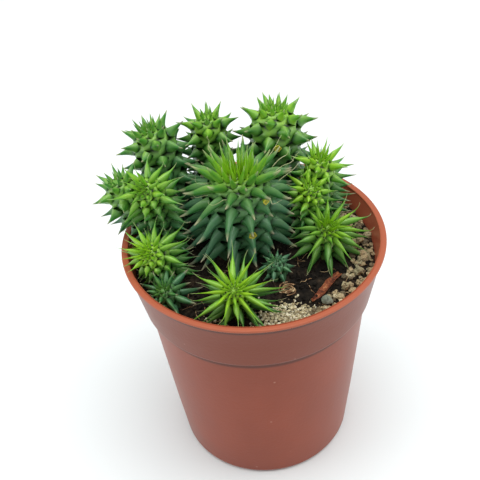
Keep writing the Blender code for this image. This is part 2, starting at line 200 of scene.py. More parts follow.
def finishPiece(obj, material, slot, nodes=()):
    # Every piece rides on the one body, stands for its CAD nodes and takes the material it is given. The
    # slot is not used.
    obj.data.materials.clear()
    obj.data.materials.append(material)
    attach(obj, "root")
    if nodes:
        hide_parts(*nodes)


# The photograph looks down by 40 degrees from a third of a metre, with the camera rolled a little.
# Its place is in mm, its turns in degrees, and its focal length and middle in pixels of the frame.
photoCamera = dict(
    place=(0, -204.62, 256.20), down=39.75, roll=-4.27, focal=826.9, middle=(253.28, 235.08),
    frame=480, sensor=36, nearest=10)
studio = dict(
    worldColour="#FDFEFF", worldStrength=0.6, floorColour="#F1F7F7", floorSize=6.0, floorDrop=0.00005,
    keySize=1.1, keyPower=9.0, keyPlace=(0.06, -0.06, 1.1), keyAim=(0, 0, 0.09),
    sideSize=0.7, sidePower=2.2, sidePlaces=((-0.95, -0.15, 0.4), (0.95, -0.1, 0.4)),
    sideAim=(0, 0, 0.05))


def setUpCamera():
    p = photoCamera
    data = bpy.data.cameras.new("photoCamera")
    camera = bpy.data.objects.new("photoCamera", data)
    bpy.context.scene.collection.objects.link(camera)
    tilt = Matrix.Rotation(math.radians(90 - p["down"]), 4, "X")
    turn = tilt @ Matrix.Rotation(math.radians(p["roll"]), 4, "Z")
    camera.matrix_world = Matrix.Translation(Vector(p["place"]) * mm) @ turn
    data.sensor_width = p["sensor"]
    data.lens = p["sensor"] * p["focal"] / p["frame"]
    data.shift_x = (p["frame"] / 2 - p["middle"][0]) / p["frame"]
    data.shift_y = (p["middle"][1] - p["frame"] / 2) / p["frame"]
    data.clip_start = p["nearest"] * mm
    bpy.context.scene.camera = camera


def addSoftLight(name, place, aim, size, power):
    data = bpy.data.lights.new(name, "AREA")
    data.shape = "DISK"
    data.size = size
    data.energy = power
    light = bpy.data.objects.new(name, data)
    light.location = place
    light.rotation_euler = (Vector(aim) - Vector(place)).to_track_quat("-Z", "Y").to_euler()
    bpy.context.scene.collection.objects.link(light)


def setUpStage():
    s = studio
    world = bpy.data.worlds.new("paleStudio")
    world.use_nodes = True
    background = world.node_tree.nodes["Background"]
    setInputs(world.node_tree, background, {"Color": s["worldColour"], "Strength": s["worldStrength"]})
    bpy.context.scene.world = world
    bpy.context.scene.view_settings.view_transform = "Standard"
    addSoftLight("overheadSoftbox", s["keyPlace"], s["keyAim"], s["keySize"], s["keyPower"])
    for place in s["sidePlaces"]:
        addSoftLight("sideSoftbox", place, s["sideAim"], s["sideSize"], s["sidePower"])
    startClean()
    bpy.ops.mesh.primitive_plane_add(size=s["floorSize"], location=(0, 0, -s["floorDrop"]))
    floor = newPiece("paleFloor")
    bpy.ops.object.transform_apply(location=True)
    paper = {"Base Color": s["floorColour"], "Roughness": 0.9, "Specular IOR Level": 0.2}
    floor.data.materials.append(newMaterial("mattePaperSweep", paper)[0])


setUpCamera()
setUpStage()
print("camera, light and floor are set up")


# Sizes in mm. The levels are heights where the wall has a ring of corners.
pot = dict(
    turns=160, height=86.0, lipRadius=42.5, lipWidth=2.1, lipHeight=1.0, lipEdge=0.32,
    collarTop=41.8, collarLow=38.3, collarLowZ=66.6, bodyTop=36.75, bodyTopZ=65.2,
    base=30.6, rounding=2.3, wall=1.2, recessZ=1.4, floorZ=2.7, footInner=24.5, pad=9.0,
    drains=8, drainRadius=2.4, drainRing=17.0, drainSides=32,
    bodyLevels=(20, 42), collarLevels=(67.4, 76))
lipLow = pot["height"] - pot["lipHeight"]


def potOutside(z):
    if z >= pot["collarLowZ"]:
        share = (z - pot["collarLowZ"]) / (lipLow - pot["collarLowZ"])
        return pot["collarLow"] + share * (pot["collarTop"] - pot["collarLow"])
    return pot["base"] + min(max(z, 0) / pot["bodyTopZ"], 1) * (pot["bodyTop"] - pot["base"])


def potInside(z):
    return potOutside(min(z, lipLow)) - pot["wall"]


def quarterRound(x, z, radius, start, corners=4):
    # Points of a quarter circle about (x, z), from a start angle in degrees
    turns = np.radians(np.linspace(start, start + 90, corners))
    return [(x + radius * math.cos(turn), z + radius * math.sin(turn)) for turn in turns]


def turnProfile(name, profile, turns):
    # A closed shell spun about Z from points (radius, height) in mm that start and end on the axis
    startClean()
    bpy.ops.mesh.primitive_plane_add(size=mm)
    obj = newPiece(name)
    editAll(obj)
    bpy.ops.mesh.merge(type="CENTER")
    bpy.ops.transform.translate(value=(profile[0][0] * mm, 0, profile[0][1] * mm))
    for before, after in zip(profile, profile[1:]):
        extrude(((after[0] - before[0]) * mm, 0, (after[1] - before[1]) * mm))
    bpy.ops.mesh.select_all(action="SELECT")
    bpy.ops.mesh.spin(steps=turns, angle=fullTurn, center=(0, 0, 0), axis=(0, 0, 1))
    bpy.ops.mesh.select_all(action="SELECT")
    bpy.ops.mesh.remove_doubles(threshold=0.01 * mm)
    endEdit()
    return obj


def potProfile():
    # From the middle of the underside round by the outside and the lip to the middle of the floor
    p = pot
    pad, recess, foot, edge = p["pad"], p["recessZ"], p["footInner"], p["lipEdge"]
    lipInner = p["lipRadius"] - p["lipWidth"]
    floorReach, floor = potInside(p["floorZ"]), p["floorZ"]
    underside = [
        (0, 0), (pad - 0.3, 0), (pad, 0.1), (pad + 0.9, recess - 0.1), (pad + 1.2, recess),
        (foot - 1.2, recess), (foot - 0.9, recess - 0.1), (foot, 0)]
    body = [
        *quarterRound(p["base"] - p["rounding"], p["rounding"], p["rounding"], -90, 7),
        *((potOutside(z), z) for z in p["bodyLevels"]),
        (p["bodyTop"] - 0.12, p["bodyTopZ"] - 1.0), (p["bodyTop"], p["bodyTopZ"]),
        (p["bodyTop"] + 0.25, p["bodyTopZ"] + 0.35)]
    collar = [
        (p["collarLow"] - 0.25, p["collarLowZ"] - 0.25), (p["collarLow"], p["collarLowZ"]),
        *((potOutside(z), z) for z in p["collarLevels"]),
        (p["collarTop"] - 0.1, lipLow - 0.3), (p["collarTop"], lipLow)]
    # the lip's inner round goes from its low end up, which folds its edge over by a third of a mm
    lip = [
        (p["lipRadius"] - 0.15, lipLow + 0.05), (p["lipRadius"], lipLow + 0.25),
        *quarterRound(p["lipRadius"] - edge, p["height"] - edge, edge, 0),
        *quarterRound(lipInner + edge, p["height"] - edge, edge, 90)[::-1]]
    levels = (lipLow, p["collarLevels"][1], p["collarLowZ"], p["bodyTopZ"], *p["bodyLevels"][::-1])
    inside = [
        *((potInside(z), z) for z in levels),
        (floorReach, floor + 1), (floorReach - 0.3, floor + 0.3), (floorReach - 1, floor), (0, floor)]
    return underside + body + collar + lip + inside


def modelPot():
    p = pot
    made = turnProfile("nurseryPot", potProfile(), p["turns"])
    startClean()
    drills = []
    for i in range(p["drains"]):
        turn = fullTurn * (i + 0.5) / p["drains"]
        place = Vector((p["drainRing"] * math.cos(turn), p["drainRing"] * math.sin(turn), 2)) * mm
        bpy.ops.mesh.primitive_cylinder_add(
            vertices=p["drainSides"], radius=p["drainRadius"] * mm, depth=8 * mm, location=place)
        drills.append(bpy.context.active_object)
    drill = joinAll("drainDrill", drills)
    applyModifier(made, "BOOLEAN", object=drill, operation="DIFFERENCE", solver="EXACT")
    bpy.data.objects.remove(drill)
    smooth(made, 35)
    return made


def potPlastic():
    # Polypropylene, injection moulded: satin terracotta brown, a little mottled by the flow, with
    # painted light making the lip oranger and the inside lighter, painted shade on the collar and in
    # lines under the collar and the lip, and a few pale specks
    made, tree, shader = newMaterial(
        "mouldedPolypropylene", {"IOR": 1.49, "Metallic": 0.0, "Specular IOR Level": 0.28})
    place = addNode(tree, "TexCoord", output="Object")
    height = addNode(tree, "SeparateXYZ", {"Vector": place}, output="Z")
    flow = addNode(tree, "TexNoise", {"Scale": 1 / 0.022, "Detail": 3.0, "Vector": place})
    grain = addNode(tree, "TexNoise", {"Scale": 1 / 0.0011, "Detail": 2.0, "Vector": place})
    dust = addNode(tree, "TexVoronoi", {"Scale": 1 / 0.0075, "Vector": place})
    # painted shade: the collar, which faces a little downward, is darkened
    collarShade = addNode(tree, "MapRange", {
        "From Min": pot["bodyTopZ"] * mm, "From Max": pot["collarLowZ"] * mm, "Value": height})
    # painted light: the lip, which faces up, is made oranger
    litLip = addNode(tree, "MapRange", {
        "From Min": (lipLow - 0.3) * mm, "From Max": (lipLow + 0.3) * mm, "Value": height})
    # inside is what stands over the collar's foot and nearer to the axis than the middle of the wall
    flat = addNode(tree, "VectorMath", {0: place, 1: (1, 1, 0)}, operation="MULTIPLY")
    reach = addNode(tree, "VectorMath", {0: flat}, operation="LENGTH")
    slope = (pot["collarTop"] - pot["collarLow"]) / (lipLow - pot["collarLowZ"])
    wallMiddle = pot["collarLow"] - slope * pot["collarLowZ"] - pot["wall"] / 2
    limit = addNode(
        tree, "Math", {0: height, 1: slope, 2: wallMiddle * mm}, operation="MULTIPLY_ADD")
    within = addNode(tree, "Math", {0: limit, 1: reach}, operation="GREATER_THAN")
    upper = addNode(tree, "Math", {0: height, 1: pot["collarLowZ"] * mm}, operation="GREATER_THAN")
    inner = addNode(tree, "Math", {0: within, 1: upper}, operation="MULTIPLY")
    outer = addNode(tree, "Math", {0: 1.0, 1: inner}, operation="SUBTRACT")
    # painted shade outside, in a soft dark line under the collar and a thin one under the lip, where
    # their overhangs shade the wall
    lines = []
    for z, wide in (pot["bodyTopZ"] - 0.6, 1.5), (lipLow - 1.0, 0.9):
        away = addNode(tree, "Math", {0: height, 1: z * mm}, operation="SUBTRACT")
        away = addNode(tree, "Math", {0: away}, operation="ABSOLUTE")
        lines.append(addNode(tree, "MapRange", {
            "From Min": 0.45 * wide * mm, "From Max": wide * mm, "To Min": 0.7, "To Max": 0.0,
            "Value": away}))
    ledgeShade = addNode(tree, "Math", {0: lines[0], 1: lines[1]}, operation="MAXIMUM")
    ledgeShade = addNode(tree, "Math", {0: ledgeShade, 1: outer}, operation="MULTIPLY")
    specks = addNode(tree, "ValToRGB", {"Fac": dust}, [(0.0, 1.0), (0.035, 1.0), (0.06, 0.0)])
    specks = addNode(tree, "Math", {0: specks, 1: 0.3}, operation="MULTIPLY")
    # the collar is painted darker than the body, painted shade as it faces a little downward, and the
    # inside is painted lighter and redder, painted light
    colour = addNode(tree, "ValToRGB", {"Fac": flow}, [(0.3, "#843A23"), (0.7, "#8F4129")])
    for paint, share in (
            ("#79351D", collarShade), ("#C2644A", inner), ("#AC5C40", litLip), ("#3A1A12", ledgeShade),
            ("#D0A48E", specks)):
        colour = addNode(tree, "Mix", {"A": colour, "B": paint, "Factor": share}, data_type="RGBA")
    rough = addNode(tree, "MapRange", {"To Min": 0.3, "To Max": 0.4, "Value": flow})
    bump = addNode(tree, "Bump", {"Strength": 0.12, "Distance": 0.0003, "Height": grain})
    setInputs(tree, shader, {"Base Color": colour, "Roughness": rough, "Normal": bump})
    return made


finishPiece(modelPot(), potPlastic(), "pot_plastic", ["pot"])
print("pot is modelled")


# A mound in mm: how it slopes and waves, its lumps, and the gaps to the pot's wall and floor
soil = dict(
    level=77.4, backSlope=0.07, crown=1.0, wave=0.35, rings=52, turns=144, lumps=0.55, lumpSize=3.1,
    fine=0.35, fineSize=0.95, gap=0.3, edgeGap=0.05, edgeRing=0.4)


def ground(x, y):
    # Height of the soil in mm: a low mound, higher at the back, with slow waves
    mound = 1 - (x * x + y * y) / potInside(soil["level"]) ** 2
    wave = math.sin(0.45 * x + 1.0) * math.cos(0.4 * y)
    return soil["level"] + soil["backSlope"] * y + soil["crown"] * mound + soil["wave"] * wave


def roughGround(x, y):
    place = Vector((x, y, 0))
    lump = noise.noise(place / soil["lumpSize"]) * soil["lumps"]
    fine = noise.noise(place / soil["fineSize"] + Vector((7, 3, 0))) * soil["fine"]
    return ground(x, y) + lump + fine


def modelSoil():
    gap, rings = soil["gap"], soil["rings"]
    top = potInside(soil["level"]) - soil["edgeGap"]
    low = pot["floorZ"] + gap
    profile = [
        (0, low), (potInside(pot["floorZ"]) - 1.2, low), (potInside(4.2) - gap, 4.2),
        (pot["bodyTop"] - pot["wall"] - gap, pot["bodyTopZ"] + gap),
        (potInside(pot["collarLowZ"]) - gap, pot["collarLowZ"] + gap)]
    shoulder = profile[-1][1] + 1
    profile += [(top * (1 - ring / rings), soil["level"]) for ring in range(rings + 1)]
    made = turnProfile("pottingSoil", profile, soil["turns"])
    for vert in made.data.vertices:
        if vert.co.z > shoulder * mm:
            x, y = vert.co.x / mm, vert.co.y / mm
            reach = math.hypot(x, y)
            z = roughGround(x, y)
            if reach > top - soil["edgeRing"]:
                z = ground(x, y)
                fit = (potInside(z) - soil["edgeGap"]) / reach
                x, y = x * fit, y * fit
            vert.co = Vector((x, y, z)) * mm
    smooth(made)
    return made


def peat():
    # Peat, damp: crumbs of a dark brown that changes in patches, each with painted shade in the gap
    # round it
    made, tree, shader = newMaterial(
        "dampPeat", {"Roughness": 0.92, "IOR": 1.45, "Specular IOR Level": 0.25})
    place = addNode(tree, "TexCoord", output="Object")
    crumbs = addNode(tree, "TexVoronoi", {"Scale": 1 / 0.0012, "Vector": place})
    patches = addNode(tree, "TexNoise", {"Scale": 1 / 0.004, "Detail": 5.0, "Vector": place})
    shade = addNode(
        tree, "ValToRGB", {"Fac": patches}, [(0.3, "#191713"), (0.5, "#302A22"), (0.7, "#57493A")])
    # painted shade: darker in the gaps between the crumbs
    crumbGapShade = addNode(tree, "ValToRGB", {"Fac": crumbs}, [(0.1, "#D8D2C8"), (0.75, "#5A5148")])
    dark = addNode(
        tree, "Mix", {"Factor": 0.8, "A": shade, "B": crumbGapShade},
        data_type="RGBA", blend_type="MULTIPLY")
    bump = addNode(tree, "Bump", {"Strength": 0.9, "Distance": 0.0006, "Height": crumbs})
    setInputs(tree, shader, {"Base Color": dark, "Normal": bump})
    return made


peatMaterial = peat()
finishPiece(modelSoil(), peatMaterial, "potting_soil", ["soil"])
print("soil is modelled")


# For each stem: where its foot stands and its crown ends (mm), the way the crown faces, the radius in
# its grooves, ribs (two to each of "around"), half the spacing of the tubercles on a rib, a tubercle's
# length and half width, its lift at the foot and the shoulder (degrees), where on the dome the
# tubercles begin and finish turning upright, how deep the neck is buried, age of the skin at foot and
# crown (0 young, 1 old), and the tubercles' shape at foot and crown
stems = {
    "main_stem": dict(
        foot=(-3.5, 5.5), crown=(-3.6, 4.6, 108.0), faces=(0, -0.02, 1), body=10.4, around=7,
        step=3.0, tubercle=11.8, girth=1.85, lift=(-20, 6), upright=(0.25, 0.85), buried=12,
        age=(1.0, 0.0), shapes=("finger", "blade")),
    "stem_back_right": dict(
        foot=(9.5, 28.5), crown=(10.2, 29.0, 115.0), faces=(0.04, 0.06, 1), body=7.4, around=5,
        step=3.3, tubercle=6.4, girth=1.65, lift=(0, 10), upright=(0.0, 1.0), buried=8,
        age=(0.85, 0.25), shapes=("tooth", "tooth")),
    "stem_back_middle": dict(
        foot=(-14.0, 29.2), crown=(-12.3, 28.6, 113.8), faces=(-0.05, -0.12, 1), body=5.0, around=4,
        step=2.7, tubercle=5.8, girth=1.35, lift=(0, 14), upright=(0.0, 1.0), buried=6,
        age=(0.92, 0.3), shapes=("tooth", "tooth")),
    "stem_back_left": dict(
        foot=(-26.5, 19.5), crown=(-31.3, 23.0, 114.3), faces=(-0.25, 0, 1), body=6.4, around=5,
        step=2.9, tubercle=6.4, girth=1.5, lift=(0, 12), upright=(0.0, 1.0), buried=7,
        age=(0.95, 0.36), shapes=("tooth", "tooth")),
    "stem_far_left": dict(
        foot=(-32.5, 10.5), crown=(-41.6, 6.2, 106.5), faces=(-0.35, -0.1, 1), body=5.0, around=4,
        step=2.7, tubercle=6.0, girth=1.35, lift=(-6, 12), upright=(0.0, 1.0), buried=6,
        age=(1.0, 0.42), shapes=("tooth", "tooth")),
    "stem_left": dict(
        foot=(-28.5, 3.0), crown=(-32.6, -0.5, 107.5), faces=(-0.25, -0.75, 0.7), body=4.4,
        around=5, step=2.1, tubercle=8.8, girth=1.45, lift=(-10, 4), upright=(0.1, 1.0), buried=6,
        age=(0.85, 0.24), shapes=("thread", "thread")),
    "stem_left_front": dict(
        foot=(-28.0, -8.0), crown=(-32.8, -12.6, 92.6), faces=(-0.35, -0.6, 0.75), body=4.3,
        around=6, step=2.0, tubercle=9.2, girth=1.35, lift=(-8, 4), upright=(0.1, 1.0), buried=6,
        age=(0.6, 0.04), shapes=("thread", "thread")),
    "stem_left_low": dict(
        foot=(-27.0, -18.0), crown=(-28.8, -20.6, 84.0), faces=(-0.15, -0.4, 1), body=3.6, around=5,
        step=1.9, tubercle=7.0, girth=1.35, lift=(-6, 6), upright=(0.1, 1.0), buried=4,
        age=(0.95, 0.5), shapes=("finger", "thread")),
    "stem_front": dict(
        foot=(-5.5, -24.0), crown=(-6.9, -29.2, 90.0), faces=(0, -0.6, 0.8), body=3.9, around=6,
        step=1.9, tubercle=12.8, girth=1.25, lift=(8, 0), upright=(0.1, 1.0), buried=5,
        age=(0.6, 0.02), shapes=("thread", "thread")),
    "stem_right": dict(
        foot=(23.0, 0.0), crown=(23.9, -2.4, 89.0), faces=(0.1, -0.5, 0.85), body=5.1, around=6,
        step=2.0, tubercle=12.0, girth=1.5, lift=(-20, 2), upright=(0.1, 1.0), buried=5,
        age=(0.55, 0.04), shapes=("thread", "thread")),
    "stem_right_back": dict(
        foot=(24.0, 17.0), crown=(23.6, 14.6, 104.0), faces=(0.12, -0.12, 1), body=4.4, around=5,
        step=2.3, tubercle=7.0, girth=1.4, lift=(0, 14), upright=(0.1, 0.95), buried=6,
        age=(0.72, 0.1), shapes=("tooth", "blade")),
    "stem_right_inner": dict(
        foot=(18.0, 8.0), crown=(19.6, 6.0, 98.4), faces=(0.1, -0.6, 0.8), body=3.6, around=5,
        step=1.9, tubercle=7.6, girth=1.25, lift=(0, 6), upright=(0.1, 1.0), buried=5,
        age=(0.68, 0.14), shapes=("thread", "thread")),
    "stem_low_middle": dict(
        foot=(7.0, -10.5), crown=(6.2, -11.8, 84.6), faces=(-0.05, -0.3, 1), body=3.0, around=5,
        step=1.8, tubercle=3.0, girth=1.0, lift=(-4, 16), upright=(0.2, 1.0), buried=4,
        age=(1.0, 0.9), shapes=("tooth", "tooth")),
}

# How far along the tubercle each level stands. For the first levels, the share of the way to the cell's
# edge, how much of the body's own skin there is in it, and its height over the groove (in crests) for
# each kind of corner. Then how pale each counts for the skin's colour, partly a paler green and partly
# a painted highlight, and how deep in a groove, which darkens it with painted shade.
tubercle = dict(
    along=(0.0, 0.04, 0.12, 0.27, 0.46, 0.66, 0.85, 1.0),
    spread=(0.82, 0.52, 0.34), blend=(1.0, 1.0, 0.6), ribBlend=(0.85, 0.6, 0.25),
    sideways=(0.85, 0.3, 0.9), rib=(1.0, 1.08, 1.2), pitSide=(-0.1, 0.55, 1.0),
    rungSide=(0.65, 0.75, 1.05), diagonal=(0.5, 0.56, 0.66),
    pale=dict(
        rib=(1.0, 1.0, 1.0, 0.85, 0.6, 0.3), sideways=(0.2, 0.05, 0.3, 0.2, 0.05, 0.0),
        pitSide=(0.0, 0.1, 0.5, 0.35, 0.15, 0.0), rungSide=(0.25, 0.35, 0.6, 0.4, 0.15, 0.0)),
    deep=dict(rib=(0.0, 0.0), sideways=(0.5, 0.62), pitSide=(0.95, 0.5), rungSide=(0.42, 0.3)),
    # the corners between the cells: height in crests, depth in the groove for the painted shade, and
    # paleness, partly a painted highlight
    spot=dict(rib=1.0, rung=0.6, pit=-0.45), spotPit=dict(rib=0.0, rung=0.3, pit=1.0),
    spotCrest=dict(rib=1.0, rung=0.3, pit=0.0),
    # the body: ribs and how they fade to the crown, its waist, its crown and its buried end
    crest=0.46, crestFade=1.1, neck=0.86, crownHole=0.05, crownStep=0.2, crowding=0.45, root=0.85,
    # where a tubercle starts (crests), stands steepest (degrees), changes shape, and gets old skin
    start=0.8, seat=0.88, steepest=86, shapeChange=(0.35, 0.75), ageing=(0.18, 0.76),
    # how it keeps off its neighbours, the soil and the pot (mm), and how it is drawn back from them
    roomGap=-5.0, soilGap=0.3, potGap=0.5, wallSteps=12, backSteps=24, shortest=0.08)
# The eight corners of a cell, from its right side round by the top. Every tubercle has a pit at one
# shoulder.
cornerKinds = ("sideways", "pitSide", "rib", "rungSide", "sideways", "pitSide", "rib", "rungSide")

# Girth, level by level, across the rib (in half widths) and along it (in cell heights, but never less
# than the width), how much the tip bends and curls up, and how much it shrinks at the crown
shapes = {
    "tooth": dict(
        wide=(1.15, 1.0, 0.84, 0.66, 0.46, 0.28, 0.12, 0.02),
        tall=(0.92, 0.8, 0.66, 0.48, 0.32, 0.18, 0.08, 0.01),
        bend=0.16, curl=0.18, shrink=0.62),
    "finger": dict(
        wide=(1.2, 1.08, 1.02, 0.94, 0.78, 0.5, 0.2, 0.02),
        tall=(0.9, 0.76, 0.62, 0.45, 0.3, 0.18, 0.08, 0.01),
        bend=0.35, curl=0.3, shrink=0.3),
    "blade": dict(
        wide=(1.1, 1.05, 0.95, 0.72, 0.46, 0.26, 0.12, 0.02),
        tall=(0.85, 0.66, 0.46, 0.3, 0.18, 0.1, 0.05, 0.01),
        bend=0.5, curl=0.0, shrink=0.42),
    "thread": dict(
        wide=(1.2, 1.15, 1.1, 0.95, 0.4, 0.15, 0.08, 0.02),
        tall=(0.85, 0.7, 0.54, 0.38, 0.16, 0.06, 0.03, 0.01),
        bend=1.2, curl=0.15, shrink=0.42),
}


def between(first, second, share):
    return first * (1 - share) + second * share


def smoothShare(value, low, high):
    share = min(max((value - low) / (high - low), 0.0), 1.0)
    return share * share * (3 - 2 * share)


def bezier(a, b, c, d, t):
    return a * (1 - t) ** 3 + b * 3 * t * (1 - t) ** 2 + c * 3 * t * t * (1 - t) + d * t ** 3


def stemPath(stem, steps=40):
    # Points on the middle line from the soil to the tip of the crown, and the distance walked at each
    x, y = stem["foot"]
    start, end = Vector((x, y, ground(x, y))), Vector(stem["crown"])
    facing = Vector(stem["faces"]).normalized()
    reach = (end - start).length
    first, second = start + Vector((0, 0, reach * 0.35)), end - facing * reach * 0.4
    points = [bezier(start, first, second, end, i / steps) for i in range(steps + 1)]
    walked = [0.0]
    for a, b in zip(points, points[1:]):
        walked.append(walked[-1] + (b - a).length)
    return points, walked


def alongPath(path, distance):
    # The point there, and the up, right and forward directions
    points, walked = path
    i = 0
    while i < len(walked) - 2 and walked[i + 1] < distance:
        i += 1
    share = (distance - walked[i]) / (walked[i + 1] - walked[i])
    up = (points[i + 1] - points[i]).normalized()
    right = Vector((0, 1, 0)).cross(up).normalized()
    return points[i].lerp(points[i + 1], share), up, right, up.cross(right)


def ringPlaces(stem, length):
    # (distance along the path, radius, tilt of the skin) of each ring of cell corners, up a body with
    # a domed top
    body = stem["body"]
    dome = min(body * 1.05, length * 0.6)
    samples = []
    for i in range(100):
        swell = i / 100
        radius = body * (tubercle["neck"] + (1 - tubercle["neck"]) * math.sin(swell * math.pi / 2))
        samples.append((swell * (length - dome), radius))
    for i in range(181):
        turn = math.pi * i / 360
        samples.append((length - dome + dome * math.sin(turn), body * math.cos(turn)))
    places, walked, due = [], 0.0, 1.0
    for (d0, r0), (d1, r1) in zip(samples, samples[1:]):
        walked += math.hypot(d1 - d0, r1 - r0)
        if r1 < body * tubercle["crownHole"]:
            break
        if walked >= due and d0 > 0:
            places.append((d1, r1, math.atan2(r0 - r1, d1 - d0)))
            crowded = 1 - tubercle["crowding"] * max(0.0, 2 * places[-1][2] / math.pi) ** 0.7
            due = walked + stem["step"] * max(r1 / body, tubercle["crownStep"]) * crowded
    return places[:len(places) - 1 + len(places) % 2]


def walls(name):
    # For each neighbour a plane (point, normal) that this stem's tubercles stay behind
    mine = stemPath(stems[name], tubercle["wallSteps"])[0]
    found = []
    for other, stem in stems.items():
        if other != name:
            theirs = stemPath(stem, tubercle["wallSteps"])[0]
            gap, a, b = min(
                (((b - a).length, a, b) for a in mine for b in theirs), key=lambda item: item[0])
            share = stems[name]["body"] / (stems[name]["body"] + stem["body"])
            normal = (b - a).normalized()
            found.append((a + normal * (gap * share - tubercle["roomGap"] / 2), normal))
    return found


def isFree(point, planes):
    if any((point - place).dot(normal) > 0 for place, normal in planes):
        return False
    if point.z < ground(point.x, point.y) + tubercle["soilGap"]:
        return False
    gap = tubercle["potGap"]
    return point.z > pot["height"] + gap or math.hypot(point.x, point.y) < potInside(point.z) - gap


def shortened(start, point, planes):
    # The tip, drawn back towards the cell until it is free
    steps = tubercle["backSteps"]
    for step in range(steps):
        tried = start.lerp(point, 1 - step / steps)
        if all(isFree(start.lerp(tried, share), planes) for share in (0.6, 0.8, 1.0)):
            return tried
    return start.lerp(point, tubercle["shortest"])


def latticeSpot(place, around):
    # Column (quarters) and ring (halves) of a point of the unplaced lattice
    column = math.atan2(place[1], place[0]) * around / fullTurn
    return round(column * 4) / 4 % around, round(place[2] * 2) / 2


def modelLattice(name, around, rings):
    # A tube of diamond cells with eight corners each. Every second ring of corners is half a cell round.
    obj = stackRings(name, around, (rings + 1) // 2, 2, "NOTHING")
    bpy.ops.mesh.select_all(action="SELECT")
    bpy.ops.transform.rotate(value=math.pi / 2, orient_axis="Z", center_override=(0, 0, 0))
    bpy.ops.mesh.poke()
    pickEdges(obj, lambda edge: len(edge.link_faces) == 2 and all(
        round(vert.co.z) % 2 == 0 for vert in edge.verts))
    bpy.ops.mesh.dissolve_edges(use_verts=False, use_face_split=False)
    pickFaces(3)
    bpy.ops.mesh.delete(type="FACE")
    bpy.ops.mesh.select_all(action="SELECT")
    bpy.ops.mesh.subdivide(number_cuts=1)
    bpy.ops.mesh.select_mode(type="VERT")
    mesh = bmesh.from_edit_mesh(obj.data)
    for vert in mesh.verts:
        column, ring = latticeSpot(vert.co, around)
        vert.select_set(ring % 1 == 0 and (column + 0.5 * (ring % 2)) % 1 == 0.5)
    mesh.select_flush(True)
    bmesh.update_edit_mesh(obj.data)
    bpy.ops.mesh.dissolve_verts()
    return obj


def raiseCells(obj, around):
    # Insets every cell again and again. Each new corner keeps its cell's number, its level and which
    # of the eight it is.
    pickFaces(8)
    mesh = bmesh.from_edit_mesh(obj.data)
    cellOf, spotOf = mesh.verts.layers.int.new("cell"), mesh.verts.layers.int.new("spot")
    cells = []
    for vert in mesh.verts:
        vert[cellOf] = -1
    for level in range(len(tubercle["along"])):
        bpy.ops.mesh.inset(thickness=0.04, use_even_offset=False, use_individual=True)
        mesh = bmesh.from_edit_mesh(obj.data)
        cellOf, spotOf = mesh.verts.layers.int["cell"], mesh.verts.layers.int["spot"]
        for face in mesh.faces:
            if not face.select:
                continue
            middle = face.calc_center_median()
            key = latticeSpot(middle, around)
            if level == 0:
                cells.append(key)
            number = cells.index(key)
            column = math.atan2(middle.y, middle.x)
            for vert in face.verts:
                across = (math.atan2(vert.co.y, vert.co.x) - column + math.pi) % fullTurn - math.pi
                across *= around / math.pi
                corner = round(math.atan2(vert.co.z - middle.z, across) / (math.pi / 4)) % 8
                vert[cellOf] = number
                vert[spotOf] = level * 8 + corner
    bmesh.update_edit_mesh(obj.data)
    bpy.ops.object.mode_set(mode="OBJECT")
    return cells


def skin(growth, column, ring, crests=0.0):
    # A point on the body, that many rib crests above its grooves, with the directions there. The
    # ribs get lower towards the crown.
    places = growth["places"]
    low = min(int(ring), len(places) - 2)
    distance, radius, tilt = (
        a + (b - a) * (ring - low) for a, b in zip(places[low], places[low + 1]))
    middle, up, right, forward = alongPath(growth["path"], distance)
    angle = fullTurn * column / growth["around"]
    outward = right * math.cos(angle) + forward * math.sin(angle)
    normal = outward * math.cos(tilt) + up * math.sin(tilt)
    crest = tubercle["crest"] * (1 - tubercle["crestFade"] * tilt / math.pi)
    height = crests * crest * math.pi * radius / growth["around"]
    return middle + outward * radius + normal * height, outward, up, normal, radius, tilt


def ageAt(stem, share):
    # Young skin on the dome, old skin below it
    return between(*stem["age"], smoothShare(share, *tubercle["ageing"]))


def modelHorn(growth, stem, column, ring, planes, rng):
    # The middle line and girth of the tubercle of one cell
    base, outward, up, normal, radius, tilt = skin(growth, column, ring, tubercle["start"])
    share = ring / (len(growth["places"]) - 1)
    domed = max(0.0, 2 * tilt / math.pi)
    lift = math.radians(between(*stem["lift"], share) + rng.uniform(-6, 6))
    rise = between(lift, math.radians(tubercle["steepest"]), smoothShare(domed, *stem["upright"]))
    side = outward.cross(up).normalized()
    heading = outward * math.cos(rise) + up * math.sin(rise) + side * rng.uniform(-0.1, 0.1)
    first, second = (shapes[kind] for kind in stem["shapes"])
    length = stem["tubercle"] * (1 - second["shrink"] * domed ** 2)
    ahead = heading.normalized() * length * rng.uniform(0.84, 1.08)
    tip = shortened(base, base + ahead, planes)
    straight, reach = (tip - base).normalized(), (tip - base).length
    mix = smoothShare(share, *tubercle["shapeChange"])
    bend = between(first["bend"], second["bend"], mix)
    swing = Vector((rng.uniform(-1, 1), rng.uniform(-1, 1), rng.uniform(-0.7, 1.1))) * bend
    curl = between(first["curl"], second["curl"], mix) * up
    ending = (straight + swing + curl).normalized()
    starting = (normal * 0.5 + straight * 0.5).normalized()
    halfWidth = math.pi * radius / growth["around"]
    halfHeight = (skin(growth, column, ring + 1)[0] - skin(growth, column, ring - 1)[0]).length / 2
    girth = min(stem["girth"], 0.6 * halfWidth) * rng.uniform(0.93, 1.07)
    return dict(
        line=(base, base + starting * reach * 0.33, tip - ending * reach * 0.4, tip),
        wide=[girth * between(m, n, mix) for m, n in zip(first["wide"], second["wide"])],
        tall=[halfHeight * between(m, n, mix) for m, n in zip(first["tall"], second["tall"])],
        side=side, up=up, normal=normal, reach=reach, column=column, ring=ring,
        age=ageAt(stem, share), tone=rng.random())


